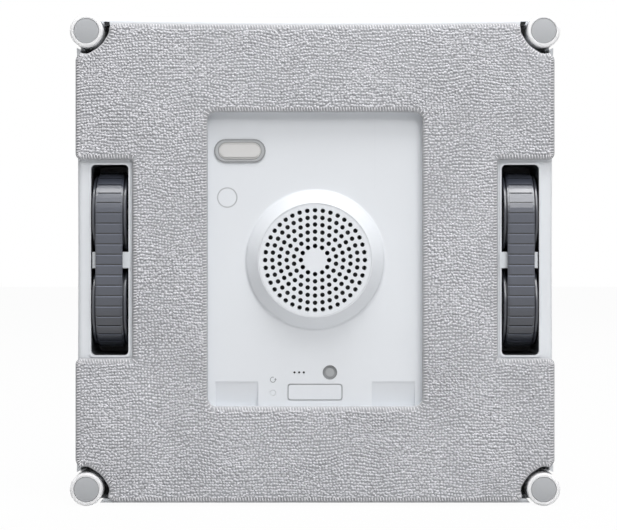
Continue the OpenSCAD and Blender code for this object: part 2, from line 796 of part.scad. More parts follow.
// Perforated disc: six rings of holes, each with one hole at its top
module grille_plate() color(white) {
    deep(grille_y, hub_seat_y) difference() {
        circle(grille_d / 2);
        for (k = [0 : len(grille_counts) - 1]) for (i = [0 : grille_counts[k] - 1])
            translate((grille_first_r + k * grille_pitch) * turned_by(90 + 360 * i / grille_counts[k]))
                circle(grille_hole_d / 2, $fn = 24);
    }
}

// Foam ring between the hub and the fan housing
module hub_gasket() color(dark) {
    turned() translate([hub_bore_d / 2, hub_back]) square([(hub_spigot_d - hub_bore_d) / 2, gasket_t]);
}

// Scroll of the fan, moved outwards by a wall
module scroll(grow) {
    polygon([for (a = [0 : scroll_step : 360]) (scroll_r + grow + scroll_growth * a / 360) * turned_by(a)]);
    translate([scroll_r - grow, -grow]) square([scroll_growth + 2 * grow, outlet_z + grow]);
}

// Fan housing with its scroll, inlet and upward duct
module fan_housing() color(dark) {
    difference() {
        deep(gasket_back, fan_back) scroll(fan_wall);
        deep(chamber_y, chamber_back) scroll(0);
        deep(chamber_y, chamber_back) translate([scroll_r, 0]) square([scroll_growth, outlet_z + overrun]);
        bar([0, 0], inlet_d / 2, gasket_back - overrun, chamber_y + overrun);
        bar([0, 0], motor_hole_r, chamber_back - overrun, fan_back + overrun);
    }
}

// Curved blade of the impeller
function blade_side(lift) = [for (i = [0 : blade_steps])
    let (t = i / blade_steps, r = blade_inner_r + t * (impeller_d / 2 - blade_inner_r - blade_t / 2))
    r * turned_by(blade_sweep * t) + lift * turned_by(blade_sweep * t + 90)];

// Centrifugal impeller with a disc, blades and a shroud ring
module impeller() color(pale) {
    disc_y = impeller_y + impeller_h - disc_t;
    difference() {
        union() {
            bar([0, 0], impeller_d / 2, disc_y, disc_y + disc_t);
            turned() translate([inlet_d / 2, impeller_y]) square([(impeller_d - inlet_d) / 2, shroud_t]);
            turned() polygon([[0, impeller_y + shroud_t], [impeller_hub_r / 2, impeller_y + shroud_t],
                [impeller_hub_r, disc_y - shroud_t], [impeller_hub_r + shroud_t, disc_y + seat_gap],
                [0, disc_y + seat_gap]]);
            deep(impeller_y + seat_gap, disc_y + seat_gap) for (i = [0 : blade_count - 1])
                rotate(360 * i / blade_count) polygon(concat(blade_side(blade_t / 2),
                    [for (p = [blade_steps : -1 : 0]) blade_side(-blade_t / 2)[p]]));
        }
        bar([0, 0], fan_shaft_d / 2 + press_gap, shaft_start, chamber_back);
    }
}

// Shaft of the fan, from the impeller into its motor
module fan_shaft() color(steel) {
    bar([0, 0], fan_shaft_d / 2, shaft_start, shaft_end);
}

// Motor of the fan behind its housing
module fan_motor() color(dark) {
    back = fan_back + fan_motor_len;
    r = fan_motor_d / 2;
    edge = fan_wall;
    bore_r = fan_shaft_d / 2 + running_gap;
    turned() polygon([[bore_r, fan_back], [r, fan_back], [r, back - edge], [r - edge, back], [0, back],
        [0, shaft_end + seat_gap], [bore_r, shaft_end + seat_gap]]);
}

// Dark cup in each corner that carries a roller's pin
module roller_mounts() color(dark) {
    for (c = corners) difference() {
        intersection() {
            bar(pocket_at(c), pocket_r + mount_wall, floor_y, shelf_y);
            deep(floor_y, shelf_y) polygon(case_outline(shell_wall + seat_gap));
        }
        deep(floor_y - overrun, mount_floor_y) pocket(c, shell_wall + seat_gap + mount_wall);
        bar(roller_at(c), roller_pin_d / 2 + press_gap, mount_floor_y - overrun, shelf_y + overrun);
    }
}

// Steel pins of the four rollers
module roller_pins() color(steel) {
    for (c = corners) bar(roller_at(c), roller_pin_d / 2, pin_front, shelf_y);
}

// Corner roller with a rounded rim and a seat for its cap
module roller(c) {
    r = roller_d / 2;
    rim = [for (i = [0 : corner_steps]) let (a = 90 * i / corner_steps)
        [r - roller_rim_r * (1 - sin(a)), roller_gap + roller_rim_r * (1 - cos(a))]];
    seat_y = roller_gap + roller_cap_t + guide_gap;
    translate([c.x * roller_x, 0, c.y * roller_z]) turned()
        polygon(concat([[roller_pin_d / 2 + running_gap, seat_y], [roller_cap_d / 2 + key_gap, seat_y],
            [roller_cap_d / 2 + key_gap, roller_gap]], rim, [[r, roller_back - flange_gap],
            [r - flange_gap, roller_back], [roller_pin_d / 2 + running_gap, roller_back]]));
}

// Grey cap let into a roller's end
module roller_cap(c) {
    r = roller_cap_d / 2;
    y = roller_gap + guide_gap;
    translate([c.x * roller_x, 0, c.y * roller_z]) turned()
        polygon([[0, y], [r - guide_gap, y], [r, y + guide_gap], [r, y + roller_cap_t],
            [0, y + roller_cap_t]]);
}

module top_left_roller() color(white) roller(corners[0]);
module top_right_roller() color(white) roller(corners[1]);
module bottom_left_roller() color(white) roller(corners[2]);
module bottom_right_roller() color(white) roller(corners[3]);
module top_left_roller_cap() color(cap_grey) roller_cap(corners[0]);
module top_right_roller_cap() color(cap_grey) roller_cap(corners[1]);
module bottom_left_roller_cap() color(cap_grey) roller_cap(corners[2]);
module bottom_right_roller_cap() color(cap_grey) roller_cap(corners[3]);

// Point of the belt's path at a share of its length, at radius r round the wheels
belt_path = 2 * wheelbase + 2 * PI * belt_r;
half_turn = PI * belt_r;
function belt_at(share, r) =
    let (s = (share - floor(share)) * belt_path, top = [track_y, drive_z], low = [track_y, -drive_z])
    s < wheelbase ? [track_y - r, s - drive_z]
    : s < wheelbase + half_turn ? top - r * turned_by(-180 * (s - wheelbase) / half_turn)
    : s < 2 * wheelbase + half_turn ? [track_y + r, drive_z - (s - wheelbase - half_turn)]
    : low + r * turned_by(-180 * (s - 2 * wheelbase - half_turn) / half_turn);

// Ribbed outline of a belt: each rib is three points wide and stands between two grooves
function belt_outline() = [for (i = [0 : belt_ribs - 1])
    let (low = (i + rib_gap / 2 * belt_ribs / belt_path) / belt_ribs,
        high = (i + 1 - rib_gap / 2 * belt_ribs / belt_path) / belt_ribs)
    each [belt_at(low, belt_r - rib_depth), belt_at(low, belt_r), belt_at((low + high) / 2, belt_r),
        belt_at(high, belt_r), belt_at(high, belt_r - rib_depth)]];
function belt_ring(r) = [for (i = [0 : 2 * belt_ribs - 1]) belt_at((i + 1 / 2) / (2 * belt_ribs), r)];

// Endless rubber belt with cross ribs and smooth edges
module belt() {
    half = belt_w / 2;
    difference() {
        union() {
            across(track_x - half + belt_edge, track_x + half - belt_edge) polygon(belt_outline());
            across(track_x - half + belt_bevel, track_x + half - belt_bevel)
                polygon(belt_ring(belt_r - rib_depth / 2));
            across(track_x - half, track_x + half) polygon(belt_ring(belt_r - rib_depth));
        }
        across(track_x - belt_w, track_x + belt_w) polygon(belt_ring(belt_in_r));
    }
}

module left_belt() color(rubber) on_side("left") belt();
module right_belt() color(rubber) on_side("right") belt();

// Flanged wheel inside a belt, with a thin web and a hub
module track_wheel(z, bore_gap) {
    hub_r = axle_r + wheel_hub_wall;
    bore_r = axle_r + bore_gap;
    inner = wheel_half - flange_t;
    rim_r = wheel_r - wheel_rim_t;
    half = [[bore_r, wheel_half], [hub_r, wheel_half], [hub_r, flange_t], [rim_r, flange_t],
        [rim_r, wheel_half], [flange_r - flange_lip, wheel_half], [flange_r, wheel_half - flange_lip],
        [flange_r, inner + flange_lip], [flange_r - flange_lip, inner], [wheel_r, inner]];
    translate([track_x, track_y, z]) rotate([0, 90, 0]) rotate_extrude()
        polygon(concat(half, [for (i = [len(half) - 1 : -1 : 0]) [half[i].x, -half[i].y]]));
}

module left_drive_wheel() color(dark) on_side("left") track_wheel(drive_z, press_gap);
module right_drive_wheel() color(dark) on_side("right") track_wheel(drive_z, press_gap);
module left_idler_wheel() color(dark) on_side("left") track_wheel(-drive_z, running_gap);
module right_idler_wheel() color(dark) on_side("right") track_wheel(-drive_z, running_gap);

// Open tray that lines a well and carries the axles
module track_tray() {
    difference() {
        deep(floor_y, tray_back) well(tray_gap + tray_wall);
        deep(floor_y - overrun, tray_floor_y) well(tray_gap);
        axle([track_y, drive_z], bush_r + press_gap, tray_face_in - overrun, tray_face_out + overrun);
        axle([track_y, -drive_z], axle_r + press_gap, tray_face_in - overrun, tray_face_out + overrun);
    }
}

module left_track_tray() color(dark) on_side("left") track_tray();
module right_track_tray() color(dark) on_side("right") track_tray();

// Pale bridge behind each belt's front run, hooked over the inner edge of the well
module track_bridges() color(pale) {
    for (side = ["left", "right"]) on_side(side) {
        well_edge = track_x - well_w / 2;
        translate([well_edge + press_gap, bridge_y, -bridge_h / 2])
            cube([well_w - bridge_short, bridge_deep, bridge_h]);
        translate([well_edge - bridge_hook, bridge_y, -bridge_h / 2])
            cube([bridge_hook + well_lip, land_y - well_lip - bridge_y, bridge_h]);
    }
}

// Steel axles that turn with the drive wheels
module drive_axle() {
    axle(drive_axis, axle_r, drive_gear_in, tray_face_out + bush_lip);
}

module left_drive_axle() color(steel) on_side("left") drive_axle();
module right_drive_axle() color(steel) on_side("right") drive_axle();

// Flanged bushes of the drive axles in the walls of the trays
module axle_bushes() color(brass) {
    for (side = ["left", "right"]) on_side(side) difference() {
        for (wall = [[tray_face_in, tray_in, 1], [tray_out, tray_face_out, -1]]) {
            face = wall[2] > 0 ? wall[1] : wall[0] - bush_lip;
            axle(drive_axis, bush_r, wall[0], wall[1]);
            axle(drive_axis, bush_r + bush_lip, face, face + bush_lip);
        }
        axle(drive_axis, axle_r + running_gap, tray_face_in - overrun, tray_face_out + overrun);
    }
}

// Fixed axles of the idler wheels
module idler_axles() color(steel) {
    for (side = ["left", "right"]) on_side(side)
        axle([track_y, -drive_z], axle_r, tray_face_in, tray_face_out);
}

// Involute of an angle, in degrees
function involute(a) = tan(a) * 180 / PI - a;

// Half the angle that a tooth takes at radius r
function tooth_half(teeth, r) =
    let (pitch_r = gear_module * teeth / 2, base_r = pitch_r * cos(pressure_angle),
        play = backlash / 4 / pitch_r * 180 / PI)
    90 / teeth - play + involute(pressure_angle) - involute(acos(min(1, base_r / max(r, base_r))));

// Outline of a gear with one tooth at the angle phase
function gear_points(teeth, phase) =
    let (pitch_r = gear_module * teeth / 2, tip_r = pitch_r + addendum_share * gear_module,
        root_r = pitch_r - dedendum_share * gear_module,
        base_r = max(root_r + press_gap, pitch_r * cos(pressure_angle)),
        radii = [root_r, base_r, pitch_r, tip_r])
    [for (i = [0 : teeth - 1]) let (a = phase + 360 * i / teeth)
        each concat([for (r = radii) r * turned_by(a - tooth_half(teeth, r))],
            [for (k = [len(radii) - 1 : -1 : 0]) radii[k] * turned_by(a + tooth_half(teeth, radii[k]))])];

// Angle of a tooth on a gear that meshes with one of known phase in a given direction
function meshed_phase(teeth, other_teeth, other_phase, direction) =
    direction + 180 - (1 / 2 - (direction - other_phase) * other_teeth / 360) * 360 / teeth;
small_phase = meshed_phase(small_teeth, drive_teeth, 0, mesh_angle);
pinion_phase = meshed_phase(pinion_teeth, large_teeth, small_phase, pinion_angle);

// Gear of the given teeth, bored to run on or be pressed to a shaft
module gear(at, teeth, phase, bore_r, from, to) {
    difference() {
        across(from, to) translate(at) polygon(gear_points(teeth, phase));
        axle(at, bore_r, from - overrun, to + overrun);
    }
}

module drive_gear() {
    gear(drive_axis, drive_teeth, 0, axle_r + press_gap, drive_gear_in, drive_gear_out);
}

module left_drive_gear() color(pale) on_side("left") drive_gear();
module right_drive_gear() color(pale) on_side("right") drive_gear();

// Compound gear: the large wheel runs with the pinion, the small one with the drive gear
module intermediate_gear() {
    bore_r = gear_pin_r + running_gap;
    gear(middle_axis, small_teeth, small_phase, bore_r, large_gear_out - seat_gap, drive_gear_out);
    gear(middle_axis, large_teeth, small_phase, bore_r, large_gear_in, large_gear_out);
}

module left_intermediate_gear() color(pale) on_side("left") intermediate_gear();
module right_intermediate_gear() color(pale) on_side("right") intermediate_gear();

// Pinion with the motor's shaft
module motor_pinion() {
    across(large_gear_in, large_gear_out) translate(motor_axis)
        polygon(gear_points(pinion_teeth, pinion_phase));
    axle(motor_axis, motor_shaft_r, bracket_in - motor_shaft_len, large_gear_out);
}

module left_motor_pinion() color(brass) on_side("left") motor_pinion();
module right_motor_pinion() color(brass) on_side("right") motor_pinion();

// Plates with the intermediate gears' pins, standing on posts from the trays
module gear_brackets() color(steel) {
    for (side = ["left", "right"]) on_side(side) {
        difference() {
            across(bracket_in, bracket_out) hull() {
                for (p = bracket_posts) translate(p) circle(bracket_post_r + bracket_t, $fn = 32);
                translate(middle_axis) circle(bracket_middle_r, $fn = 32);
            }
            axle(motor_axis, motor_boss_r + press_gap, bracket_in - overrun, bracket_out + overrun);
        }
        for (p = bracket_posts) axle(p, bracket_post_r, bracket_out, tray_face_in);
        axle(middle_axis, gear_pin_r, bracket_out, tray_face_in);
    }
}

// Gear motors of the tracks
module drive_motors() color(dark) {
    r = motor_d / 2;
    edge = bracket_t;
    bore_r = motor_shaft_r + running_gap;
    for (side = ["left", "right"]) on_side(side)
        translate([bracket_in, motor_axis.x, motor_axis.y]) rotate([0, -90, 0]) rotate_extrude()
            polygon([[bore_r, -bracket_t], [motor_boss_r, -bracket_t], [motor_boss_r, 0], [r, 0],
                [r, motor_len - edge], [r - edge, motor_len], [0, motor_len], [0, motor_shaft_len + seat_gap],
                [bore_r, motor_shaft_len + seat_gap]]);
}

// Bezel of the power key, with the box that guides it
module switch_bezel() color(bezel_grey) {
    difference() {
        union() {
            deep(panel_y - bezel_lip, panel_y) translate(switch_at) oval(bezel_size, 0);
            deep(panel_y - seat_gap, bezel_floor_y + bezel_floor) translate(switch_at)
                oval(bezel_size, -bezel_step);
        }
        deep(0, bezel_floor_y) translate(switch_at) oval(key_size, key_gap);
    }
}

// Power key
module power_key() color(key_grey) {
    deep(key_y + key_step, key_y + key_len) translate(switch_at) oval(key_size, 0);
    deep(key_y, key_y + key_len / 2) translate(switch_at) oval(key_size, -key_ledge);
}

// Reset button with a flange that keeps it behind the panel
module reset_button() color(pale) {
    bar(reset_at, reset_d / 2, panel_y + guide_gap, reset_end);
    bar(reset_at, reset_flange_r, panel_back + seat_gap, panel_back + seat_gap + reset_flange_t);
}

// Grey lens of the edge sensor, with a raised middle and a flange behind the panel
module sensor_lens() color(cap_grey) {
    r = lens_d / 2 - seat_gap;
    disc_r = r * lens_disc_share;
    face = panel_y + lens_deep;
    back = face + lens_t + guide_gap;
    translate([lens_at.x, 0, lens_at.y]) turned()
        polygon([[0, face], [disc_r, face], [disc_r, face + flange_gap], [r, face + flange_gap],
            [r, panel_back], [r + lens_flange, panel_back], [r + lens_flange, back], [0, back]]);
}

// Round plug flush with the panel
module flush_plug() color(white) {
    bar(plug_at, plug_d / 2 - seat_gap, panel_y, panel_y + inset_deep);
}

// Plain cover of the port below the hub
module port_cover() color(white) {
    deep(panel_y, panel_y + inset_deep) translate(port_at) port_outline(port_gap);
}

// Circuit board with its larger components
module main_board() color(board_green) {
    h = board_bottom - board_top;
    deep(board_y, board_y + board_t) translate([0, -(board_bottom + board_top) / 2])
        square([board_w, h], center = true);
    deep(board_y - tact_h, board_y) translate(reset_at) square(tact_w, center = true);
    deep(board_y + board_t, board_y + board_t + tact_h) {
        translate([-board_w / 4, -board_top - h / 3]) square(h / 4, center = true);
        translate([board_w / 5, -board_top - h / 2]) square([h / 5, h / 3], center = true);
    }
    for (i = [1 : 3])
        bar([board_w / 3, -board_top - i * h / 5], h / 12, board_y + board_t, board_y + h / 5);
}

// Buzzer behind the sound holes
module buzzer() color(dark) {
    bar(sound_at, buzzer_r, panel_back + buzzer_gap, board_y);
}

// Backup battery: four cells in one wrap
module battery_pack() color(wrap_blue) {
    pitch = 2 * battery_cell_r - seat_gap;
    near = [floor_y + battery_gap + battery_cell_r, panel_top + shell_wall + battery_gap + battery_cell_r];
    across(-battery_len / 2, battery_len / 2) translate(near) {
        for (i = [0, 1]) for (j = [0, 1]) translate([i * pitch, j * pitch]) circle(battery_cell_r);
        square(pitch);
    }
}

// Start button that slides in the light ring
module start_button() color(cap_grey) {
    bar(start_at, start_d / 2, start_y, case_depth + start_proud);
    bar(start_at, start_d / 2 + start_lip, start_y, start_y + start_lip_t);
}

// Translucent ring round the start button
module light_ring() color(pale) {
    inner_r = start_d / 2 + guide_gap;
    translate([start_at.x, 0, start_at.y]) turned() translate([inner_r, case_depth - ring_deep])
        square([ring_d / 2 - inner_r, ring_deep + ring_proud]);
}

// Small board under the start button
module button_board() color(board_green) {
    deep(button_board_y, button_board_y + board_t) translate(start_at)
        square([button_board_w, button_board_h], center = true);
    deep(button_board_y + board_t, button_tact_y) translate(start_at) square(tact_w, center = true);
}

// Exhaust grille in the back: rings on spokes
module exhaust_grille() color(pale) {
    r = exhaust_d / 2;
    pitch = (r - exhaust_rim) / exhaust_rings;
    deep(case_depth - exhaust_t, case_depth) {
        for (i = [1 : exhaust_rings]) difference() {
            circle(i == exhaust_rings ? r : i * pitch + exhaust_bar / 2);
            circle(i * pitch - exhaust_bar / 2);
        }
        for (i = [0 : exhaust_spokes - 1]) rotate(360 * i / exhaust_spokes)
            translate([pitch, -exhaust_bar / 2]) square([r - pitch - exhaust_rim, exhaust_bar]);
    }
}

// Middle line of the handle and its direction, for a share of its length
function handle_at(share) = let (a = 180 * share, c = cos(a), s = sin(a))
    [(handle_len - handle_t) / 2 * sign(c) * pow(abs(c), handle_power_share),
        case_depth + (handle_out - handle_t / 2) * pow(s, handle_power_share)];
function handle_way(i) = i == 0 ? [0, 1] : i == handle_stations ? [0, -1]
    : let (d = handle_at((i + 1) / handle_stations) - handle_at((i - 1) / handle_stations)) d / norm(d);

// Arched carrying handle with flared feet
module handle() color(pale) {
    section = rounded_box(handle_t, handle_w, handle_t / 2 - seat_gap);
    n = len(section);
    points = [for (i = [0 : handle_stations])
        let (at = handle_at(i / handle_stations), way = handle_way(i),
            flare = 1 + handle_foot_share * pow(abs(2 * i / handle_stations - 1), 6))
        each [for (p = section) [at.x + p.x * way.y, at.y - p.x * way.x, handle_rise + p.y * flare]]];
    sides = [for (i = [0 : handle_stations - 1]) each [for (j = [0 : n - 1]) let (k = (j + 1) % n)
        each [[i * n + j, i * n + k, (i + 1) * n + k], [i * n + j, (i + 1) * n + k, (i + 1) * n + j]]]];
    start = [for (j = [1 : n - 2]) [0, j + 1, j]];
    end = [for (j = [1 : n - 2]) [handle_stations * n, handle_stations * n + j, handle_stations * n + j + 1]];
    polyhedron(points, concat(sides, start, end));
}

// Round power inlet through the back
module power_inlet() color(dark) {
    face = case_depth + inlet_flange_t;
    floor = face - inlet_bore_len;
    translate([inlet_at.x, 0, inlet_at.y]) turned()
        polygon([[0, floor - inlet_flange_t], [inlet_barrel_r, floor - inlet_flange_t],
            [inlet_barrel_r, case_depth], [inlet_flange_r, case_depth], [inlet_flange_r, face - flange_gap],
            [inlet_flange_r - flange_gap, face], [inlet_bore_d / 2, face], [inlet_bore_d / 2, floor],
            [0, floor]]);
}

// Eyelet for the safety rope
module rope_eyelet() color(steel) {
    translate([eyelet_at.x, 0, eyelet_at.y]) {
        deep(case_depth, case_depth + eyelet_foot_t)
            polygon(rounded_box(eyelet_foot.x, eyelet_foot.y, eyelet_t));
        difference() {
            union() {
                axle([eyelet_y, 0], eyelet_r, -eyelet_t / 2, eyelet_t / 2);
                across(-eyelet_t / 2, eyelet_t / 2) translate([case_depth + eyelet_foot_t / 2, -eyelet_r])
                    square([eyelet_y - case_depth - eyelet_foot_t / 2, 2 * eyelet_r]);
            }
            axle([eyelet_y, 0], eyelet_hole_d / 2, -eyelet_t, eyelet_t);
        }
    }
}

// Screws that hold the shells together, under the pad
module case_screws() color(steel) {
    for (p = screw_places) {
        bar(p, screw_head_r, land_y, land_y + screw_head_h);
        bar(p, screw_r, land_y, split_y + screw_bite);
    }
}

base_shell();
top_cover();
cleaning_pad();
hook_strips();
suction_hub();
grille_plate();
hub_gasket();
fan_housing();
impeller();
fan_shaft();
fan_motor();
roller_mounts();
roller_pins();
top_left_roller();
top_right_roller();
bottom_left_roller();
bottom_right_roller();
top_left_roller_cap();
top_right_roller_cap();
bottom_left_roller_cap();
bottom_right_roller_cap();
left_belt();
right_belt();
left_drive_wheel();
right_drive_wheel();
left_idler_wheel();
right_idler_wheel();
left_track_tray();
right_track_tray();
track_bridges();
left_drive_axle();
right_drive_axle();
axle_bushes();
idler_axles();
left_drive_gear();
right_drive_gear();
left_intermediate_gear();
right_intermediate_gear();
left_motor_pinion();
right_motor_pinion();
gear_brackets();
drive_motors();
switch_bezel();
power_key();
reset_button();
sensor_lens();
flush_plug();
port_cover();
main_board();
buzzer();
battery_pack();
start_button();
light_ring();
button_board();
exhaust_grille();
handle();
power_inlet();
rope_eyelet();
case_screws();
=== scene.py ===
# Window cleaning robot, seen square onto the side that wipes the glass.
import math

import bmesh
import bpy
import numpy as np
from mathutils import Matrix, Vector


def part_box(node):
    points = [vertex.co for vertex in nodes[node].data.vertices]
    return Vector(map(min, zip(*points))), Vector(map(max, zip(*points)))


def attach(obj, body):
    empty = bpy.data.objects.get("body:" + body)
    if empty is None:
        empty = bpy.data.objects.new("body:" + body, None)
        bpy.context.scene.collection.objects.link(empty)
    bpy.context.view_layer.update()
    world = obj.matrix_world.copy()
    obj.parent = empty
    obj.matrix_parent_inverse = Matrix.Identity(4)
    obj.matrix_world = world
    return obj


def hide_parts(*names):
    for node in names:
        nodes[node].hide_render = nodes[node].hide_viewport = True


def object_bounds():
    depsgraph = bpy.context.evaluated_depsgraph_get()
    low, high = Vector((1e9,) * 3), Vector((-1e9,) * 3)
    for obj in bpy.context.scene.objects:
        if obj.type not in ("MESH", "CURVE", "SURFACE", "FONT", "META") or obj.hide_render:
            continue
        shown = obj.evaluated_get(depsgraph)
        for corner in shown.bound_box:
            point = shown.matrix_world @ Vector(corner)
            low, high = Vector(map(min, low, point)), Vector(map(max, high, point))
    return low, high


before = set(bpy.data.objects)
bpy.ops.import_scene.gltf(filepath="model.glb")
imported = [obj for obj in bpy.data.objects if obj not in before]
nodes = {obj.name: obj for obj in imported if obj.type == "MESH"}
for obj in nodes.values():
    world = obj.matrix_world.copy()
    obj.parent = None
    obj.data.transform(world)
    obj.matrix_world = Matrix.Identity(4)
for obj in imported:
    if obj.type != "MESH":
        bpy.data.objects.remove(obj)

mm = 0.001
cadBox = [list(corner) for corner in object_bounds()]
print("frame loaded,", len(nodes), "nodes")


# Helpers for objects and places
def addObject(name, data):
    made = bpy.data.objects.new(name, data)
    bpy.context.collection.objects.link(made)
    return made


def middleAndHalf(node):
    # Middle and half size of a CAD node
    low, high = (np.array(corner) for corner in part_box(node))
    return (low + high) / 2, (high - low) / 2


# Helpers for node trees
def addNode(tree, kind, **settings):
    node = tree.nodes.new(kind)
    for name, value in settings.items():
        setattr(node, name, value)
    return node


def feed(tree, socket, value):
    # A number or colour is set on the socket, an output is linked to it
    if isinstance(value, (int, float, tuple, list)):
        socket.default_value = value
    else:
        tree.links.new(value, socket)


def mathNode(tree, operation, *values):
    node = addNode(tree, "ShaderNodeMath", operation=operation)
    for socket, value in zip(node.inputs, values):
        feed(tree, socket, value)
    return node.outputs[0]


def noiseNode(tree, vector, scale, detail):
    node = addNode(tree, "ShaderNodeTexNoise")
    feed(tree, node.inputs["Vector"], vector)
    feed(tree, node.inputs["Scale"], scale)
    feed(tree, node.inputs["Detail"], detail)
    return node.outputs["Fac"]


def mapRange(tree, value, fromLow, fromHigh, toLow, toHigh, smooth=False):
    node = addNode(tree, "ShaderNodeMapRange")
    if smooth:
        node.interpolation_type = "SMOOTHSTEP"
    feed(tree, node.inputs["Value"], value)
    feed(tree, node.inputs["From Min"], fromLow)
    feed(tree, node.inputs["From Max"], fromHigh)
    feed(tree, node.inputs["To Min"], toLow)
    feed(tree, node.inputs["To Max"], toHigh)
    return node.outputs["Result"]


def scaledColor(tree, color, factor):
    node = addNode(tree, "ShaderNodeVectorMath", operation="SCALE")
    feed(tree, node.inputs[0], color)
    feed(tree, node.inputs["Scale"], factor)
    return node.outputs[0]


def mixedColor(tree, factor, first, second):
    node = addNode(tree, "ShaderNodeMix", data_type="RGBA")
    for socket, value in ((node.inputs["Factor"], factor), (node.inputs[6], first), (node.inputs[7], second)):
        feed(tree, socket, value)
    return node.outputs[2]


def placeOf(tree):
    # Where a point lies on the object: its x, y and z in metres
    parts = addNode(tree, "ShaderNodeSeparateXYZ")
    tree.links.new(addNode(tree, "ShaderNodeTexCoord").outputs["Object"], parts.inputs[0])
    return [parts.outputs[axis] for axis in "XYZ"]


def shade(code):
    # "#rrggbb" as a linear colour
    parts = [int(code[i:i + 2], 16) / 255 for i in (1, 3, 5)]
    return [p / 12.92 if p <= 0.04045 else ((p + 0.055) / 1.055) ** 2.4 for p in parts] + [1]


# Camera
lens = {
    "distance": 0.85,          # from the wiping face
    "pixelSize": 0.48 * mm,    # size of a pixel on the wiping face
    "image": (617, 530),
    "fanPixel": (315.05, 260.1),    # the fan's axis in the image
    "squarePixel": (312.45, 240.0),  # where the lens looks square at the face
    "sensorMm": 36,
}


def addCamera():
    width, height = lens["image"]
    across = lens["squarePixel"][0] - lens["fanPixel"][0]
    up = lens["fanPixel"][1] - lens["squarePixel"][1]
    data = bpy.data.cameras.new("camera")
    data.sensor_width = lens["sensorMm"]
    data.lens = lens["sensorMm"] * lens["distance"] / (width * lens["pixelSize"])
    data.shift_x = (width / 2 - lens["squarePixel"][0]) / width
    data.shift_y = (lens["squarePixel"][1] - height / 2) / width
    camera = addObject("camera", data)
    camera.location = (across * lens["pixelSize"], -lens["distance"], up * lens["pixelSize"])
    camera.rotation_euler = (math.pi / 2, 0, 0)
    bpy.context.scene.camera = camera


# Studio
studio = {
    "lamps": {                 # place, size in metres, watts
        "overheadLamp": ((0.1, -0.4, 1.35), 0.9, 19.5),
        "frontLamp": ((0.35, -1.4, 1.1), 1.0, 14.6),
        "backLamp": ((0.3, 1.1, 1.2), 1.2, 11.0),
    },
    "target": (0, 0, 0),
    "ambient": 0.10,
    "floorSize": 8.0,
    "paper": (0.6, 0.6, 0.6, 1),  # how much light the floor throws back at the object
    "floorShare": 0.97,        # share of the floor that stays white in the lens
}


def addLamp(name, place, size, watts):
    data = bpy.data.lights.new(name, "AREA")
    data.shape = "DISK"
    data.size = size
    data.energy = watts
    lamp = addObject(name, data)
    lamp.location = place
    lamp.rotation_euler = (Vector(studio["target"]) - Vector(place)).to_track_quat("-Z", "Y").to_euler()


def seenRays(tree):
    # 1 for camera, glossy and transmission rays, 0 for the light that falls on the object
    path = addNode(tree, "ShaderNodeLightPath")
    direct = mathNode(tree, "MAXIMUM", path.outputs["Is Camera Ray"], path.outputs["Is Glossy Ray"])
    return mathNode(tree, "MAXIMUM", direct, path.outputs["Is Transmission Ray"])


def mixedSurface(tree, factor, first, second, outKind):
    mix = addNode(tree, "ShaderNodeMixShader")
    tree.links.new(factor, mix.inputs["Fac"])
    tree.links.new(first.outputs[0], mix.inputs[1])
    tree.links.new(second.outputs[0], mix.inputs[2])
    tree.links.new(mix.outputs[0], addNode(tree, outKind).inputs["Surface"])


def addWorld():
    world = bpy.data.worlds.new("studio")
    world.use_nodes = True
    tree = world.node_tree
    tree.nodes.clear()
    soft = addNode(tree, "ShaderNodeBackground")
    white = addNode(tree, "ShaderNodeBackground")
    for shader, strength in ((soft, studio["ambient"]), (white, 1)):
        shader.inputs["Color"].default_value = (1, 1, 1, 1)
        shader.inputs["Strength"].default_value = strength
    mixedSurface(tree, seenRays(tree), soft, white, "ShaderNodeOutputWorld")
    bpy.context.scene.world = world


def addFloor():
    half = studio["floorSize"] / 2
    low = cadBox[0][2]
    mesh = bpy.data.meshes.new("floor")
    corners = [(-half, -half, low), (half, -half, low), (half, half, low), (-half, half, low)]
    mesh.from_pydata(corners, [], [(0, 1, 2, 3)])
    floor = addObject("floor", mesh)
    material = bpy.data.materials.new("paper floor")
    material.use_nodes = True
    tree = material.node_tree
    tree.nodes.clear()
    paper = addNode(tree, "ShaderNodeBsdfDiffuse")
    paper.inputs["Color"].default_value = studio["paper"]
    white = addNode(tree, "ShaderNodeEmission")
    white.inputs["Strength"].default_value = 1
    share = mathNode(tree, "MULTIPLY", seenRays(tree), studio["floorShare"])
    mixedSurface(tree, share, paper, white, "ShaderNodeOutputMaterial")
    mesh.materials.append(material)


# Shared effects, and the scale and detail of each noise in them
noises = {
    "blotch": (32.0, 3.0),
    "gloss": (210.0, 3.0),
    "yarn": (620.0, 1.0),
    "wear": (22.0, 3.0),
    "fibre": (5200.0, 2.0),
    "drawnLine": (2400.0, 3.0),
}
grainDetail = 3.0
wearShare = 0.5                # how much the wear counts beside the yarn's own tone
lineContrast = 0.18


def makeGroup(name, inputs, outputs):
    # An empty group, with the place on the object, its inputs and its outputs
    group = bpy.data.node_groups.new(name, "ShaderNodeTree")
    for label, value in inputs.items():
        kind = "NodeSocketColor" if isinstance(value, (tuple, list)) else "NodeSocketFloat"
        group.interface.new_socket(name=label, in_out="INPUT", socket_type=kind).default_value = value
    for label in outputs:
        kind = "NodeSocketColor" if label == "Color" else "NodeSocketFloat"
        group.interface.new_socket(name=label, in_out="OUTPUT", socket_type=kind)
    place = addNode(group, "ShaderNodeTexCoord").outputs["Object"]
    given = addNode(group, "NodeGroupInput").outputs
    return group, place, given, addNode(group, "NodeGroupOutput").inputs


def aroundZero(tree, value):
    return mathNode(tree, "SUBTRACT", value, 0.5)


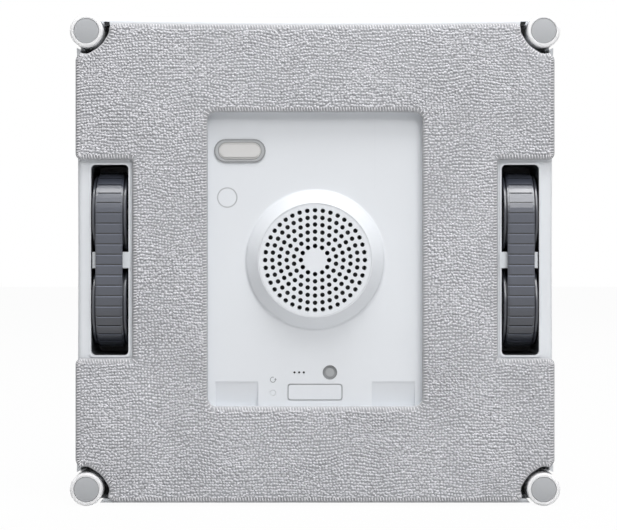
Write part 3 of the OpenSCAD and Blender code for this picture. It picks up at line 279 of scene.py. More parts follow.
def mouldedGroup():
    # Moulded plastic: slight blotches, uneven gloss and a fine grain
    group, place, given, out = makeGroup("moulded surface", {
        "Color": (0.8, 0.8, 0.8, 1), "Blotch": 0.03, "Roughness": 0.4, "Spread": 0.1, "Grain Scale": 3000.0,
    }, ["Color", "Roughness", "Height"])
    blotch = aroundZero(group, noiseNode(group, place, *noises["blotch"]))
    tone = mathNode(group, "MULTIPLY_ADD", blotch, given["Blotch"], 1.0)
    uneven = aroundZero(group, noiseNode(group, place, *noises["gloss"]))
    gloss = mathNode(group, "MULTIPLY_ADD", uneven, given["Spread"], given["Roughness"])
    group.links.new(scaledColor(group, given["Color"], tone), out["Color"])
    group.links.new(gloss, out["Roughness"])
    group.links.new(noiseNode(group, place, given["Grain Scale"], grainDetail), out["Height"])
    return group


def threadGroup():
    # Cloth: lighter on the crowns of the threads, painted shade between them that darkens with depth, with a
    # fine fibre
    group, place, given, out = makeGroup("thread tone", {
        "Crown": (0.6, 0.6, 0.6, 1), "Shaded Hollow": (0.2, 0.2, 0.2, 1), "Crown Depth": 0.0, "Hollow Depth": 0.001,
        "Unevenness": 0.2,
    }, ["Color", "Height"])
    depth = placeOf(group)[1]
    # painted shade: the colour turns from the crown's tone to the painted shade with depth into the cloth
    deepness = mapRange(group, depth, given["Crown Depth"], given["Hollow Depth"], 0.0, 1.0)
    base = mixedColor(group, deepness, given["Crown"], given["Shaded Hollow"])
    perLoop = aroundZero(group, noiseNode(group, place, *noises["yarn"]))
    wear = aroundZero(group, noiseNode(group, place, *noises["wear"]))
    both = mathNode(group, "MULTIPLY_ADD", wear, wearShare, perLoop)
    tone = mathNode(group, "MULTIPLY_ADD", both, given["Unevenness"], 1.0)
    group.links.new(scaledColor(group, base, tone), out["Color"])
    group.links.new(noiseNode(group, place, *noises["fibre"]), out["Height"])
    return group


def metalGroup():
    # Turned or drawn metal: fine lines round or along the piece
    group, place, given, out = makeGroup("drawn metal", {
        "Color": (0.6, 0.6, 0.6, 1), "Roughness": 0.3, "Spread": 0.15, "Stretch": 0.04,
    }, ["Color", "Roughness", "Height"])
    stretch = addNode(group, "ShaderNodeCombineXYZ")
    for axis, value in zip("XYZ", (given["Stretch"], 1, 1)):
        feed(group, stretch.inputs[axis], value)
    pulled = addNode(group, "ShaderNodeVectorMath", operation="MULTIPLY")
    group.links.new(place, pulled.inputs[0])
    group.links.new(stretch.outputs[0], pulled.inputs[1])
    lines = noiseNode(group, pulled.outputs[0], *noises["drawnLine"])
    apart = aroundZero(group, lines)
    tone = mathNode(group, "MULTIPLY_ADD", apart, lineContrast, 1.0)
    gloss = mathNode(group, "MULTIPLY_ADD", apart, given["Spread"], given["Roughness"])
    group.links.new(scaledColor(group, given["Color"], tone), out["Color"])
    group.links.new(gloss, out["Roughness"])
    group.links.new(lines, out["Height"])
    return group


effects = {"moulded": mouldedGroup(), "thread": threadGroup(), "metal": metalGroup()}
print("shared effects built")


def newMaterial(name, effectName, values, bump, plain):
    # Colour, roughness and bump come from a shared effect, plain values go on the shader's own sockets
    material = bpy.data.materials.new(name)
    material.use_nodes = True
    tree = material.node_tree
    tree.nodes.clear()
    shader = addNode(tree, "ShaderNodeBsdfPrincipled")
    out = addNode(tree, "ShaderNodeOutputMaterial")
    effect = addNode(tree, "ShaderNodeGroup", node_tree=effects[effectName])
    for label, value in values.items():
        effect.inputs[label].default_value = value
    for label, value in plain.items():
        shader.inputs[label].default_value = value
    tree.links.new(effect.outputs["Color"], shader.inputs["Base Color"])
    if "Roughness" in effect.outputs:
        tree.links.new(effect.outputs["Roughness"], shader.inputs["Roughness"])
    relief = addNode(tree, "ShaderNodeBump")
    strength, distance = bump
    relief.inputs["Strength"].default_value = strength
    relief.inputs["Distance"].default_value = distance * mm
    tree.links.new(effect.outputs["Height"], relief.inputs["Height"])
    tree.links.new(relief.outputs["Normal"], shader.inputs["Normal"])
    tree.links.new(shader.outputs["BSDF"], out.inputs["Surface"])
    return material


def shaderOf(material):
    return next(node for node in material.node_tree.nodes if node.type == "BSDF_PRINCIPLED")


def colorOf(material):
    return shaderOf(material).inputs["Base Color"].links[0].from_socket


def recolor(material, color):
    material.node_tree.links.new(color, shaderOf(material).inputs["Base Color"])


def toneFinish(material, factor):
    # Multiplies the colour of a finish by a factor that varies over it
    recolor(material, scaledColor(material.node_tree, colorOf(material), factor))


# Plastics: colour, roughness, spread of the roughness, grain scale, bump strength, specular level
plastics = {
    "shellWhite": ("#e0e3e7", 0.38, 0.10, 2600.0, 0.10, 0.5),
    "grilleWhite": ("#e2e5e9", 0.36, 0.08, 2600.0, 0.08, 0.5),
    "rollerWhite": ("#fbfbfd", 0.32, 0.08, 2200.0, 0.06, 0.5),
    "capGrey": ("#b0b2b5", 0.36, 0.10, 1800.0, 0.15, 0.6),
    "beltRubber": ("#464a55", 0.31, 0.12, 1500.0, 0.25, 0.9),
    "wheelDark": ("#3c3f47", 0.30, 0.12, 1800.0, 0.15, 0.8),
    "trayDark": ("#6c6f74", 0.45, 0.12, 1800.0, 0.20, 0.5),
    "mountDark": ("#26282b", 0.45, 0.12, 1800.0, 0.20, 0.5),
    "palePlastic": ("#d9dde1", 0.40, 0.10, 2200.0, 0.12, 0.5),
    "gearNylon": ("#e7e5da", 0.42, 0.10, 2000.0, 0.10, 0.5),
    "fanBlack": ("#2a2b2e", 0.48, 0.12, 1600.0, 0.20, 0.5),
    "impellerDark": ("#1d1f23", 0.40, 0.12, 1600.0, 0.20, 0.5),
    "gasketFoam": ("#303134", 0.85, 0.10, 900.0, 0.80, 0.3),
    "bezelGrey": ("#adafb1", 0.42, 0.10, 1800.0, 0.15, 0.5),
    "keyGrey": ("#d2d1d0", 0.40, 0.08, 1800.0, 0.10, 0.5),
    "lensGrey": ("#a6a8aa", 0.30, 0.08, 1500.0, 0.06, 0.5),
    "hookTape": ("#cfd3d8", 0.75, 0.12, 900.0, 0.90, 0.3),
    "batteryWrap": ("#3d5a80", 0.28, 0.10, 500.0, 0.25, 0.5),
    "ringLight": ("#dfe9f2", 0.30, 0.06, 1800.0, 0.05, 0.5),
}
plasticRelief = 0.03           # bump distance in millimetres
# Metals: colour, roughness, spread of the roughness
metals = {
    "motorSteel": ("#b9bcc1", 0.34, 0.16),
    "pinSteel": ("#c6c9cd", 0.24, 0.14),
    "bushBrass": ("#cda964", 0.26, 0.14),
}
metalBump = (0.15, 0.02)       # strength, and distance in millimetres


def makePlastics():
    made = {}
    for name, (color, rough, spread, grain, bump, specular) in plastics.items():
        values = {"Color": shade(color), "Roughness": rough, "Spread": spread, "Grain Scale": grain}
        plain = {"Specular IOR Level": specular}
        made[name] = newMaterial(name, "moulded", values, (bump, plasticRelief), plain)
    return made


def makeMetals():
    made = {}
    for name, (color, rough, spread) in metals.items():
        values = {"Color": shade(color), "Roughness": rough, "Spread": spread}
        made[name] = newMaterial(name, "metal", values, metalBump, {"Metallic": 1})
    return made


# Green boards: solder mask with pale copper tracks under it
board = {"mask": "#1f5a3c", "track": "#3f8a5f", "pitch": 380.0, "trackWidth": 0.06, "roughness": 0.32,
         "spread": 0.08, "grain": 1500.0, "bump": (0.1, 0.03)}


def makeBoard():
    values = {"Color": shade(board["mask"]), "Roughness": board["roughness"], "Spread": board["spread"],
              "Grain Scale": board["grain"]}
    material = newMaterial("boardGreen", "moulded", values, board["bump"], {})
    tree = material.node_tree
    turned = addNode(tree, "ShaderNodeMapping")
    turned.inputs["Rotation"].default_value = (math.pi / 2, 0, 0)
    brick = addNode(tree, "ShaderNodeTexBrick")
    brick.inputs["Scale"].default_value = board["pitch"]
    brick.inputs["Mortar Size"].default_value = board["trackWidth"]
    tree.links.new(addNode(tree, "ShaderNodeTexCoord").outputs["Object"], turned.inputs["Vector"])
    tree.links.new(turned.outputs[0], brick.inputs["Vector"])
    recolor(material, mixedColor(tree, brick.outputs["Fac"], colorOf(material), shade(board["track"])))
    return material


# Soft white rollers: light sinks in and comes out further back along their sides
softRoller = {"weight": 0.5, "depth": 4.0 * mm}


def soften(material):
    inputs = shaderOf(material).inputs
    inputs["Subsurface Weight"].default_value = softRoller["weight"]
    inputs["Subsurface Radius"].default_value = (1.0, 1.0, 1.0)
    inputs["Subsurface Scale"].default_value = softRoller["depth"]


# Faint line that the mould leaves on the panel
mouldLine = {"x": 29.0 * mm, "low": 34.0 * mm, "high": 71.0 * mm, "front": 10.0 * mm, "halfWidth": 0.22 * mm,
             "darker": 0.965}


def addMouldLine(material):
    tree = material.node_tree
    x, y, z = placeOf(tree)
    away = mathNode(tree, "ABSOLUTE", mathNode(tree, "SUBTRACT", x, mouldLine["x"]))
    onLine = mapRange(tree, away, 0.0, mouldLine["halfWidth"], 1.0, 0.0, smooth=True)
    above = mathNode(tree, "GREATER_THAN", z, mouldLine["low"])
    below = mathNode(tree, "LESS_THAN", z, mouldLine["high"])
    front = mathNode(tree, "LESS_THAN", y, mouldLine["front"])
    within = mathNode(tree, "MULTIPLY", above, mathNode(tree, "MULTIPLY", below, front))
    mask = mathNode(tree, "MULTIPLY", onLine, within)
    toneFinish(material, mapRange(tree, mask, 0.0, 1.0, 1.0, mouldLine["darker"]))


# Bands that follow a piece's outline, from so far inside it to so far outside
rings = [
    {"finish": "bezelGrey", "piece": "switch_bezel", "inside": 0.7 * mm, "outside": 3.3 * mm, "tone": 0.6},
    {"finish": "keyGrey", "piece": "switch_bezel", "inside": 2.75 * mm, "outside": 3.3 * mm, "tone": 0.84},
    {"finish": "lensGrey", "piece": "sensor_lens", "inside": 2.3 * mm, "outside": 4.6 * mm, "tone": 0.74},
    {"finish": "shellWhite", "piece": "flush_plug", "inside": 0.2 * mm, "outside": 0.35 * mm, "tone": 0.68},
    {"finish": "shellWhite", "piece": "port_cover", "inside": 0.2 * mm, "outside": 0.35 * mm, "tone": 0.68,
     "corner": 1.2 * mm},
]
ringFade = 0.12 * mm                   # half the width over which a band fades at its edges
ringFront = (11.0 * mm, 12.0 * mm)     # depths between which the bands fade away


def toneRing(material, ring):
    tree = material.node_tree
    x, y, z = placeOf(tree)
    middle, half = middleAndHalf(ring["piece"])
    corner = ring.get("corner", min(half[0], half[2]))
    squares = []
    for at, k in ((x, 0), (z, 2)):
        away = mathNode(tree, "ABSOLUTE", mathNode(tree, "SUBTRACT", at, middle[k]))
        past = mathNode(tree, "MAXIMUM", mathNode(tree, "SUBTRACT", away, half[k] - corner), 0.0)
        squares.append(mathNode(tree, "MULTIPLY", past, past))
    radius = mathNode(tree, "SQRT", mathNode(tree, "ADD", *squares))
    inner, outer = corner - ring["inside"], corner + ring["outside"]
    begins = mapRange(tree, radius, inner - ringFade, inner + ringFade, 0.0, 1.0, smooth=True)
    ends = mapRange(tree, radius, outer - ringFade, outer + ringFade, 1.0, 0.0, smooth=True)
    front = mapRange(tree, y, *ringFront, 1.0, 0.0)
    amount = mathNode(tree, "MULTIPLY", mathNode(tree, "MULTIPLY", begins, ends), front)
    toneFinish(material, mapRange(tree, amount, 0.0, 1.0, 1.0, ring["tone"]))


# Cross ribs of the belts: painted shade in the grooves, a painted highlight on the edge below each one, and
# painted shade lower down
ribs = {
    "count": 44,
    "groove": 0.3 * mm,        # half the width of a groove
    "highlightReach": 0.8 * mm,           # how far the painted highlight reaches from the middle of the groove
    "fade": 0.1 * mm,
    "dark": 0.35,
    # strength of the painted highlight on the edge below each groove
    "edgeHighlight": (4.2, 1.4),      # at the lower and the upper end of the next range
    "edgeHighlightOver": (-38.0 * mm, 32.0 * mm),
    "shade": 0.45,             # at the lower end of the next range
    "shadeOver": (-42.0 * mm, -8.0 * mm),
}


def ribLines(material):
    tree = material.node_tree
    _, y, z = placeOf(tree)
    half = middleAndHalf("right_drive_wheel")[0][2]
    middle, radius = (part[1] for part in middleAndHalf("right_belt"))
    high = mathNode(tree, "ABSOLUTE", z)
    over = mathNode(tree, "MAXIMUM", mathNode(tree, "SUBTRACT", high, half), 0.0)
    ahead = mathNode(tree, "SUBTRACT", middle, y)
    bend = mathNode(tree, "MULTIPLY", mathNode(tree, "ARCTAN2", over, ahead), radius)
    reach = mathNode(tree, "ADD", mathNode(tree, "MINIMUM", high, half), bend)
    along = mathNode(tree, "MULTIPLY", reach, mathNode(tree, "SIGN", z))
    pitch = (4 * half + 2 * math.pi * radius) / ribs["count"]
    past = mathNode(tree, "WRAP", mathNode(tree, "ADD", along, half), pitch / 2, -pitch / 2)
    groove, highlightReach, fade = ribs["groove"], ribs["highlightReach"], ribs["fade"]
    apart = mathNode(tree, "ABSOLUTE", past)
    # painted light and shade: darker in each groove, a painted highlight on the edge below it, darker lower
    # on the belt
    inGroove = mapRange(tree, apart, groove, groove + fade, ribs["dark"], 1.0, smooth=True)
    below = mathNode(tree, "MULTIPLY", past, -1.0)
    begins = mapRange(tree, below, groove, groove + fade, 0.0, 1.0, smooth=True)
    ends = mapRange(tree, below, highlightReach - fade, highlightReach, 1.0, 0.0, smooth=True)
    pale = mapRange(tree, z, *ribs["edgeHighlightOver"], *ribs["edgeHighlight"])
    edgeHighlight = mapRange(tree, mathNode(tree, "MULTIPLY", begins, ends), 0.0, 1.0, 1.0, pale)
    lower = mapRange(tree, z, *ribs["shadeOver"], ribs["shade"], 1.0)
    toneFinish(material, mathNode(tree, "MULTIPLY", mathNode(tree, "MULTIPLY", inGroove, edgeHighlight), lower))


# Painted light on the roller brackets: lighter in the middle of each pocket, where light would reach the
# roller's side, and dark at its ends
pocketLight = {"from": 1.5 * mm, "to": 6.0 * mm, "tone": "#a9abaf"}


def lightenPocket(material):
    tree = material.node_tree
    x, _, z = placeOf(tree)
    roller = middleAndHalf("top_right_roller")[0]
    inX = mathNode(tree, "SUBTRACT", roller[0], mathNode(tree, "ABSOLUTE", x))
    inZ = mathNode(tree, "SUBTRACT", roller[2], mathNode(tree, "ABSOLUTE", z))
    least = mathNode(tree, "MINIMUM", inX, inZ)
    # painted light: the brackets turn lighter away from the pocket's ends
    amount = mapRange(tree, least, pocketLight["from"], pocketLight["to"], 0.0, 1.0, smooth=True)
    recolor(material, mixedColor(tree, amount, colorOf(material), shade(pocketLight["tone"])))


# Dished roller caps: painted light, lighter towards their upper edge and darker towards their lower edge, as
# light falls from above
capPaintedLight = {"lower": 0.82, "upper": 1.1}


def paintCapLight(material):
    tree = material.node_tree
    z = placeOf(tree)[2]
    at, reach = (part[2] for part in middleAndHalf("top_right_roller_cap"))
    middle = mathNode(tree, "MULTIPLY", mathNode(tree, "SIGN", z), at)
    up = mathNode(tree, "SUBTRACT", z, middle)
    # painted light: the tone rises from the lower to the upper edge of each cap
    toneFinish(material, mapRange(tree, up, -reach, reach, capPaintedLight["lower"], capPaintedLight["upper"]))


# Which finish each node wears
worn = {
    "shellWhite": ["base_shell", "top_cover", "suction_hub", "flush_plug", "port_cover", "reset_button",
                   "handle"],
    "grilleWhite": ["grille_plate"],
    "hookTape": ["hook_strips"],
    "capGrey": ["start_button"],
    "beltRubber": ["left_belt", "right_belt"],
    "trayDark": ["left_track_tray", "right_track_tray"],
    "mountDark": ["roller_mounts"],
    "impellerDark": ["impeller"],
    "palePlastic": ["track_bridges", "exhaust_grille", "cleaning_pad"],  # the cloth replaces the last
    "fanBlack": ["fan_housing", "fan_motor", "buzzer", "power_inlet"],
    "gasketFoam": ["hub_gasket"],
    "motorSteel": ["gear_brackets", "drive_motors", "rope_eyelet"],
    "pinSteel": ["fan_shaft", "roller_pins", "idler_axles", "case_screws"],
    "bushBrass": ["axle_bushes"],
    "bezelGrey": ["switch_bezel"],
    "keyGrey": ["power_key"],
    "lensGrey": ["sensor_lens"],
    "boardGreen": ["main_board", "button_board"],
    "batteryWrap": ["battery_pack"],
    "ringLight": ["light_ring"],
}
wornPerSide = {"drive_wheel": "wheelDark", "idler_wheel": "wheelDark", "drive_axle": "pinSteel",
               "drive_gear": "gearNylon", "intermediate_gear": "gearNylon", "motor_pinion": "bushBrass"}
wornPerCorner = {"roller": "rollerWhite", "roller_cap": "capGrey"}


def dress():
    made = {**makePlastics(), **makeMetals(), "boardGreen": makeBoard()}
    addMouldLine(made["shellWhite"])
    soften(made["rollerWhite"])
    for ring in rings:
        toneRing(made[ring["finish"]], ring)
    ribLines(made["beltRubber"])
    lightenPocket(made["mountDark"])
    paintCapLight(made["capGrey"])
    finish = {node: name for name, members in worn.items() for node in members}
    for side in ("left", "right"):
        finish.update({f"{side}_{piece}": name for piece, name in wornPerSide.items()})
        for level in ("top", "bottom"):
            finish.update({f"{level}_{side}_{piece}": name for piece, name in wornPerCorner.items()})
    for name, node in nodes.items():
        node.data.materials.clear()
        node.data.materials.append(made[finish[name]])


# Helpers for meshes
def addPiece(name, mesh, material, smooth=True):
    mesh.polygons.foreach_set("use_smooth", np.full(len(mesh.polygons), smooth))
    mesh.materials.append(material)
    piece = addObject(name, mesh)
    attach(piece, "chassis")
    return piece


def tubes(paths, radii, sides):
    # Closed tubes: paths is tube, ring, xyz and radii is tube, ring
    tubeCount, ringCount = paths.shape[:2]
    along = np.gradient(paths, axis=1)
    along /= np.linalg.norm(along, axis=2, keepdims=True)
    chord = paths[:, -1] - paths[:, 0]
    middle = paths[:, ringCount // 2] - paths[:, 0]
    aside = np.cross(chord, middle)
    aside /= np.linalg.norm(aside, axis=1, keepdims=True)
    aside = np.repeat(aside[:, None, :], ringCount, axis=1)
    out = np.cross(along, aside)
    angles = (np.arange(sides) + 0.5) * 2 * math.pi / sides
    ringPoints = (paths[:, :, None, :] + radii[:, :, None, None] * (
        np.cos(angles)[None, None, :, None] * aside[:, :, None, :]
        + np.sin(angles)[None, None, :, None] * out[:, :, None, :]))
    vertices = ringPoints.reshape(-1, 3)
    ring, side = np.meshgrid(np.arange(ringCount - 1), np.arange(sides), indexing="ij")
    following = (side + 1) % sides
    walls = np.stack([ring * sides + side, ring * sides + following,
                      (ring + 1) * sides + following, (ring + 1) * sides + side], axis=-1).reshape(-1, 4)
    starts = (np.arange(tubeCount) * ringCount * sides)[:, None, None]
    walls = (walls[None] + starts).reshape(-1, 4)
    first = np.arange(sides)[::-1][None] + starts[:, 0]
    last = np.arange(sides)[None] + (ringCount - 1) * sides + starts[:, 0]
    return vertices, walls, np.concatenate([first, last])


def tubePiece(name, paths, radii, sides, material):
    vertices, walls, ends = tubes(paths, radii, sides)
    corners = np.concatenate([walls.ravel(), ends.ravel()])
    sizes = np.concatenate([np.full(len(walls), 4), np.full(len(ends), sides)])
    mesh = bpy.data.meshes.new(name)
    mesh.vertices.add(len(vertices))
    mesh.vertices.foreach_set("co", vertices.astype(np.float32).ravel())
    mesh.loops.add(len(corners))
    mesh.loops.foreach_set("vertex_index", corners.astype(np.int32))
    mesh.polygons.add(len(sizes))
    mesh.polygons.foreach_set("loop_start", np.concatenate([[0], np.cumsum(sizes)[:-1]]).astype(np.int32))
    mesh.update(calc_edges=True)
    mesh.validate()
    return addPiece(name, mesh, material)


def outlinesOf(node, depth):
    # Closed outlines of the node's flat face at a depth, as points of x and z, the richest in points first
    near = 0.01 * mm
    digits = 6
    mesh = nodes[node].data
    loose = {}
    for face in mesh.polygons:
        corners = [mesh.vertices[i].co for i in face.vertices]
        if max(abs(c.y - depth) for c in corners) > near:
            continue
        keys = [(round(c.x, digits), round(c.z, digits)) for c in corners]
        for a, b in zip(keys, keys[1:] + keys[:1]):
            if (b, a) in loose:
                del loose[(b, a)]
            else:
                loose[(a, b)] = True
    following = {a: b for a, b in loose}
    found = []
    while following:
        start = next(iter(following))
        outline, at = [start], following.pop(start)
        while at != start:
            outline.append(at)
            at = following.pop(at)
        found.append(np.array(outline))
    return sorted(found, key=len, reverse=True)


def evenly(outline, spacing):
    # Points at an even spacing along a closed outline, and the directions there
    closed = np.vstack([outline, outline[:1]])
    steps = np.linalg.norm(np.diff(closed, axis=0), axis=1)
    reach = np.concatenate([[0], np.cumsum(steps)])
    count = round(reach[-1] / spacing)
    at = np.arange(count) * reach[-1] / count
    points = np.stack([np.interp(at, reach, closed[:, i]) for i in (0, 1)], axis=1)
    ways = np.roll(points, -1, axis=0) - np.roll(points, 1, axis=0)
    return points, ways / np.linalg.norm(ways, axis=1, keepdims=True)


def leftOf(ways):
    return np.stack([-ways[:, 1], ways[:, 0]], axis=1)


def nearness(points, outlines):
    # Distance of points to the outlines, below zero outside the cloth
    starts = np.vstack(outlines)
    ends = np.vstack([np.roll(o, -1, axis=0) for o in outlines])
    edge = ends - starts
    rise = np.where(edge[:, 1] == 0, 1, edge[:, 1])
    found = np.empty(len(points))
    batch = 2000
    for k in range(0, len(points), batch):
        p = points[k:k + batch, None, :]
        t = np.clip(((p - starts) * edge).sum(2) / (edge ** 2).sum(1), 0, 1)
        gap = np.linalg.norm(p - starts - t[..., None] * edge, axis=2).min(1)
        crosses = (starts[:, 1] > p[..., 1]) != (ends[:, 1] > p[..., 1])
        atX = starts[:, 0] + (p[..., 1] - starts[:, 1]) * edge[:, 0] / rise
        inside = (crosses & (p[..., 0] < atX)).sum(1) % 2 == 1
        found[k:k + batch] = np.where(inside, gap, -gap)
    return found


# Microfibre pad: a cloth body, rows of loops on its face and an overlocked edge
pad = {
    "seed": 7,
    "rowPitch": 1.36 * mm,
    "loopPitch": 1.42 * mm,
    "rowShift": 6,               # every second row is set over by the pitch divided by this
    "rowsDrift": ((34 * mm, 0.7 * mm), (30 * mm, 0.8 * mm)),  # length and height of the waves along x and z
    "jitter": 0.24 * mm,
    "loopHalf": 0.34 * mm,       # half the length of a loop
    "halfSpread": (0.85, 1.2),
    "loopHigh": 0.86 * mm,
    "highSpread": (0.8, 1.12),
    "rowDrop": 0.12 * mm,        # how much lower every second row is
    "lean": 0.22,
    "turn": 16,                  # degrees by which loops turn one by one
    "turnDrift": (50 * mm, 12),  # length of the waves, and degrees by which whole patches turn
    "yarnR": 0.62 * mm,
    "yarnProfile": (0.82, 1.0, 1.12, 1.0, 0.82),
    "yarnSpread": (0.9, 1.12),
    "yarnSides": 4,
    "patches": (50 * mm, 0.07),  # length of the waves, and how much fuller the yarn is in some patches
    # the loops above, below and beside the window are pieces of their own, which keeps each one light
    "upperFrom": 71.5 * mm,
    "lowerFrom": -71.0 * mm,
    "arcShift": 1.1 * mm,        # how far the cloth bulges towards each roller
    "arcReach": 12.4 * mm,
    "arcFade": 4.0 * mm,
    "root": 1.45 * mm,           # depth of the cloth that the loops stand on
    "hem": 2.3 * mm,
    "edgeStep": 1.2 * mm,
    # the edge in section: distance inwards and depth
    "section": ((0.6, 3.58), (0.12, 3.3), (0.0, 2.6), (0.12, 1.8), (0.6, 1.3), (1.4, 1.1), (2.3, 0.85)),
    "stitchPitch": 1.35 * mm,
    "threadR": 0.27 * mm,
    "threadSides": 6,
    "stitchSlant": (0.25, 0.12),  # mean and spread, in millimetres
    # a stitch in section: distance inwards and depth
    "stitch": ((2.6, 1.5), (2.3, 0.8), (1.5, 0.55), (0.95, 0.75), (0.75, 1.2), (0.6, 1.9), (0.7, 2.6)),
}
# Cloths: the crown's tone at the first depth, the painted shade between the threads at the second, and bump
# strength and distance
cloths = {
    "microfibreLoops": {"crown": "#d6d6da", "shadedHollow": "#838488", "depths": (0.7, 1.35), "uneven": 0.5,
                        "bump": (0.6, 0.08), "roughness": 0.92, "sheen": 0.12},
    "overlockThread": {"crown": "#e6e5e8", "shadedHollow": "#949598", "depths": (0.3, 2.4), "uneven": 0.35,
                       "bump": (0.5, 0.06), "roughness": 0.85, "sheen": 0.0},
    "padCloth": {"crown": "#b2b3b7", "shadedHollow": "#b0b1b4", "depths": (0.8, 1.9), "uneven": 0.4,
                 "bump": (0.5, 0.06), "roughness": 0.9, "sheen": 0.0},
}


def makeCloth(name):
    cloth = cloths[name]
    values = {"Crown": shade(cloth["crown"]), "Shaded Hollow": shade(cloth["shadedHollow"]),
              "Crown Depth": cloth["depths"][0] * mm, "Hollow Depth": cloth["depths"][1] * mm,
              "Unevenness": cloth["uneven"]}
    plain = {"Roughness": cloth["roughness"], "Sheen Weight": cloth["sheen"]}
    return newMaterial(name, "thread", values, cloth["bump"], plain)


# How slow waves over the pad are mixed: how many, the spread of their lengths, and what evens their sum out
waves = {"count": 7, "spread": (0.6, 1.6), "evenOut": 2.6}


def slowWaves(points, length, strength, random):
    total = np.zeros(len(points))
    for _ in range(waves["count"]):
        way = random.uniform(0, 2 * math.pi)
        wave = length * random.uniform(*waves["spread"])
        phase = random.uniform(0, 2 * math.pi)
        total += np.sin((points @ np.array([math.cos(way), math.sin(way)])) * 2 * math.pi / wave + phase)
    return strength * total / waves["evenOut"]


def clothBody(outlines, side, material):
    # A wall that follows the section along each outline, closed by a flat back and a flat face
    section = np.array(pad["section"]) * mm
    vertices, faces, rims = [], [], []
    for outline in outlines:
        points, ways = evenly(outline, pad["edgeStep"])
        inward = leftOf(ways) * side
        base, count = len(vertices), len(points)
        for inset, depth in section:
            vertices += [(x, depth, z) for x, z in points + inward * inset]
        for k in range(len(section) - 1):
            row, above = base + k * count, base + (k + 1) * count
            for i in range(count):
                j = (i + 1) % count
                faces.append([row + i, row + j, above + j, above + i])
        rims.append({"count": count, "back": base, "face": base + (len(section) - 1) * count})
    mesh = bpy.data.meshes.new("pad_cloth")
    mesh.from_pydata(vertices, [], faces)
    work = bmesh.new()
    work.from_mesh(mesh)
    work.verts.ensure_lookup_table()
    for end in ("back", "face"):
        edges = []
        for rim in rims:
            around = [work.verts[rim[end] + i] for i in range(rim["count"])]
            edges += [work.edges.get(pair) for pair in zip(around, around[1:] + around[:1])]
        bmesh.ops.triangle_fill(work, edges=edges, use_beauty=True)
    bmesh.ops.recalc_face_normals(work, faces=work.faces)
    work.to_mesh(mesh)
    work.free()
    return addPiece("pad_cloth", mesh, material)


def loopPlaces(outlines, random):
    # Feet of the loops on a near-square lattice, drawn out of line by slow waves and by chance
    low, high = (np.array(corner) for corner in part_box("cleaning_pad"))
    xs = np.arange(low[0], high[0], pad["loopPitch"])
    zs = np.arange(low[2], high[2], pad["rowPitch"])
    gridX, gridZ = np.meshgrid(xs, zs)
    rows = np.repeat(np.arange(len(zs))[:, None], len(xs), axis=1).ravel()
    shift = (rows % 2) * pad["loopPitch"] / pad["rowShift"]
    points = np.stack([gridX.ravel() + shift, gridZ.ravel()], axis=1)
    for k, (length, strength) in enumerate(pad["rowsDrift"]):
        points[:, k] += slowWaves(points, length, strength, random)
    points += random.uniform(-1, 1, points.shape) * pad["jitter"]
    keep = nearness(points, outlines) > pad["hem"]
    return points[keep], rows[keep]


def loopShapes(points, rows, random):
    # Path and thickness of each loop: half a ring that turns and leans a little
    count = len(points)
    turn = np.radians(slowWaves(points, *pad["turnDrift"], random) + random.normal(0, pad["turn"], count))
    lean = random.normal(0, pad["lean"], count)
    half = pad["loopHalf"] * random.uniform(*pad["halfSpread"], count)
    tall = pad["loopHigh"] * random.uniform(*pad["highSpread"], count) - (rows % 2) * pad["rowDrop"]
    arc = np.linspace(0, math.pi, len(pad["yarnProfile"]))
    way = np.stack([np.cos(turn), np.zeros(count), np.sin(turn)], axis=1)
    side = np.stack([-np.sin(turn), np.zeros(count), np.cos(turn)], axis=1)
    rise = np.array([0, -1, 0]) + side * lean[:, None]
    rise /= np.linalg.norm(rise, axis=1, keepdims=True)
    foot = np.stack([points[:, 0], np.full(count, pad["root"]), points[:, 1]], axis=1)
    paths = (foot[:, None] - np.cos(arc)[None, :, None] * (half[:, None] * way)[:, None]
             + np.sin(arc)[None, :, None] * (tall[:, None] * rise)[:, None])
    thick = np.array(pad["yarnProfile"])[None] * pad["yarnR"]
    thick = thick * random.uniform(*pad["yarnSpread"], count)[:, None]
    thick *= 1 + slowWaves(points, *pad["patches"], random)[:, None]
    return paths, thick


def terryLoops(outlines, material):
    random = np.random.default_rng(pad["seed"])
    points, rows = loopPlaces(outlines, random)
    paths, thick = loopShapes(points, rows, random)
    across, up = points.T
    upper, lower = up > pad["upperFrom"], up < pad["lowerFrom"]
    beside = ~(upper | lower)
    split = {"upper": upper, "lower": lower, "left": beside & (across < 0), "right": beside & (across >= 0)}
    for name, chosen in split.items():
        piece = tubePiece(f"pad_loops_{name}", paths[chosen], thick[chosen], pad["yarnSides"], material)
        print("loops", name, int(chosen.sum()))


def overlock(outlines, side, material):
    random = np.random.default_rng(pad["seed"] + 1)
    course = np.array(pad["stitch"]) * mm
    allPaths = []
    for outline in outlines:
        points, ways = evenly(outline, pad["stitchPitch"])
        inward = leftOf(ways) * side
        slant = random.normal(*pad["stitchSlant"], len(points)) * mm
        random.random(len(points))       # drawn, not used: it keeps the next outline's slants as they are
        for k in range(len(points)):
            drift = slant[k] * np.linspace(-1, 1, len(course))
            flat = points[k] + course[:, :1] * inward[k] + drift[:, None] * ways[k]
            allPaths.append(np.stack([flat[:, 0], course[:, 1], flat[:, 1]], axis=1))
    paths = np.array(allPaths)
    thick = np.full(paths.shape[:2], pad["threadR"])
    piece = tubePiece("pad_overlock", paths, thick, pad["threadSides"], material)


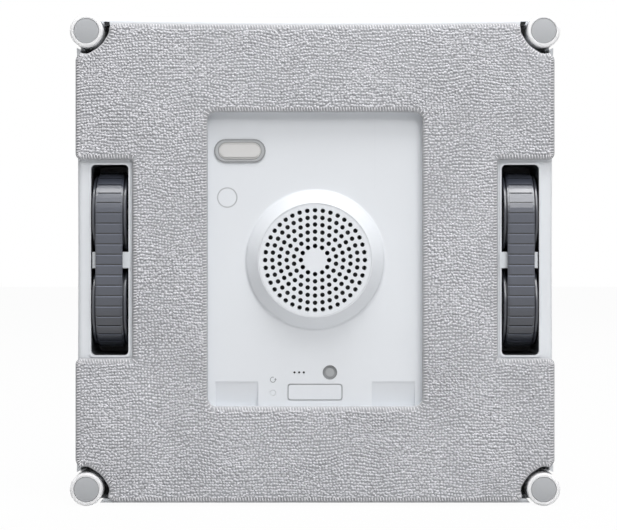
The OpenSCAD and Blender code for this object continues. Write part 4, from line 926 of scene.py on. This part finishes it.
def towardsRollers(outline):
    # The cloth's arcs bulge a little towards the corner rollers
    points = np.array(outline, float)
    for node in ("top_left_roller", "top_right_roller", "bottom_left_roller", "bottom_right_roller"):
        away = points - middleAndHalf(node)[0][[0, 2]]
        distance = np.linalg.norm(away, axis=1, keepdims=True)
        inArc = np.clip(np.abs(away).min(axis=1, keepdims=True) / pad["arcFade"], 0, 1)
        amount = np.where(distance < pad["arcReach"], pad["arcShift"] * inArc, 0.0)
        points -= away / distance * amount
    return points


def clothSide(outlines):
    # 1 where the cloth lies to the left along its outlines, -1 where it lies to the right
    points, ways = evenly(outlines[0], pad["edgeStep"])
    probe = points + leftOf(ways) * pad["edgeStep"] / 2
    return 1 if np.median(nearness(probe, outlines)) > 0 else -1


def buildPad():
    outlines = [towardsRollers(outline) for outline in outlinesOf("cleaning_pad", 0.0)]
    side = clothSide(outlines)
    body = clothBody(outlines, side, makeCloth("padCloth"))
    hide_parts("cleaning_pad")
    terryLoops(outlines, makeCloth("microfibreLoops"))
    overlock(outlines, side, makeCloth("overlockThread"))


# Open ring arrow beside the reset button, printed on the panel: millimetres and degrees
ringArrow = {"at": (-20.4, -58.0), "r": 1.25, "line": 0.34, "from": 70, "turn": 285, "steps": 24,
             "head": 0.95, "headWidth": 0.7, "proud": 0.04, "thick": 0.06, "tone": "#8f9296",
             "roughness": 0.5, "spread": 0.1, "grain": 2500.0, "bump": (0.1, 0.02)}


def onRing(angle, r):
    x, z = ringArrow["at"]
    return x + r * math.cos(angle), z + r * math.sin(angle)


def ringArrowMark():
    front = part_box("port_cover")[0].y - ringArrow["proud"] * mm
    depths = (front, front + ringArrow["thick"] * mm)
    steps, r, half = ringArrow["steps"], ringArrow["r"], ringArrow["line"] / 2
    angles = [math.radians(ringArrow["from"] + ringArrow["turn"] * k / steps) for k in range(steps + 1)]
    band = [onRing(angle, radius) for angle in angles for radius in (r - half, r + half)]
    tip = np.array(onRing(angles[-1], r))
    outward = np.array([math.cos(angles[-1]), math.sin(angles[-1])])
    forward = np.array([-outward[1], outward[0]])
    wide = outward * ringArrow["head"] * ringArrow["headWidth"]
    head = [tip + forward * ringArrow["head"], tip + wide, tip - wide]
    vertices = [(x * mm, depth, z * mm) for outline in (band, head) for depth in depths for x, z in outline]
    faces = []
    row = len(band)
    for i in range(0, 2 * steps, 2):
        faces += [(i, i + 1, i + 3, i + 2), (row + i, row + i + 2, row + i + 3, row + i + 1),
                  (i, i + 2, row + i + 2, row + i), (i + 1, row + i + 1, row + i + 3, i + 3)]
    faces += [(0, row, row + 1, 1), (row - 2, row - 1, 2 * row - 1, 2 * row - 2)]
    wedge = [(0, 1, 2), (5, 4, 3), (0, 3, 4, 1), (1, 4, 5, 2), (2, 5, 3, 0)]
    faces += [tuple(2 * row + k for k in face) for face in wedge]
    mesh = bpy.data.meshes.new("reset_mark")
    mesh.from_pydata(vertices, [], faces)
    values = {"Color": shade(ringArrow["tone"]), "Roughness": ringArrow["roughness"],
              "Spread": ringArrow["spread"], "Grain Scale": ringArrow["grain"]}
    material = newMaterial("printedMark", "moulded", values, ringArrow["bump"], {})
    mark = addPiece("reset_mark", mesh, material, smooth=False)


addCamera()
addWorld()
addFloor()
for name, (place, size, watts) in studio["lamps"].items():
    addLamp(name, place, size, watts)
print("studio set")
dress()
print("finishes on")
buildPad()
print("pad sewn")
ringArrowMark()
print("reset mark printed")

bpy.context.scene.view_settings.view_transform = "Standard"
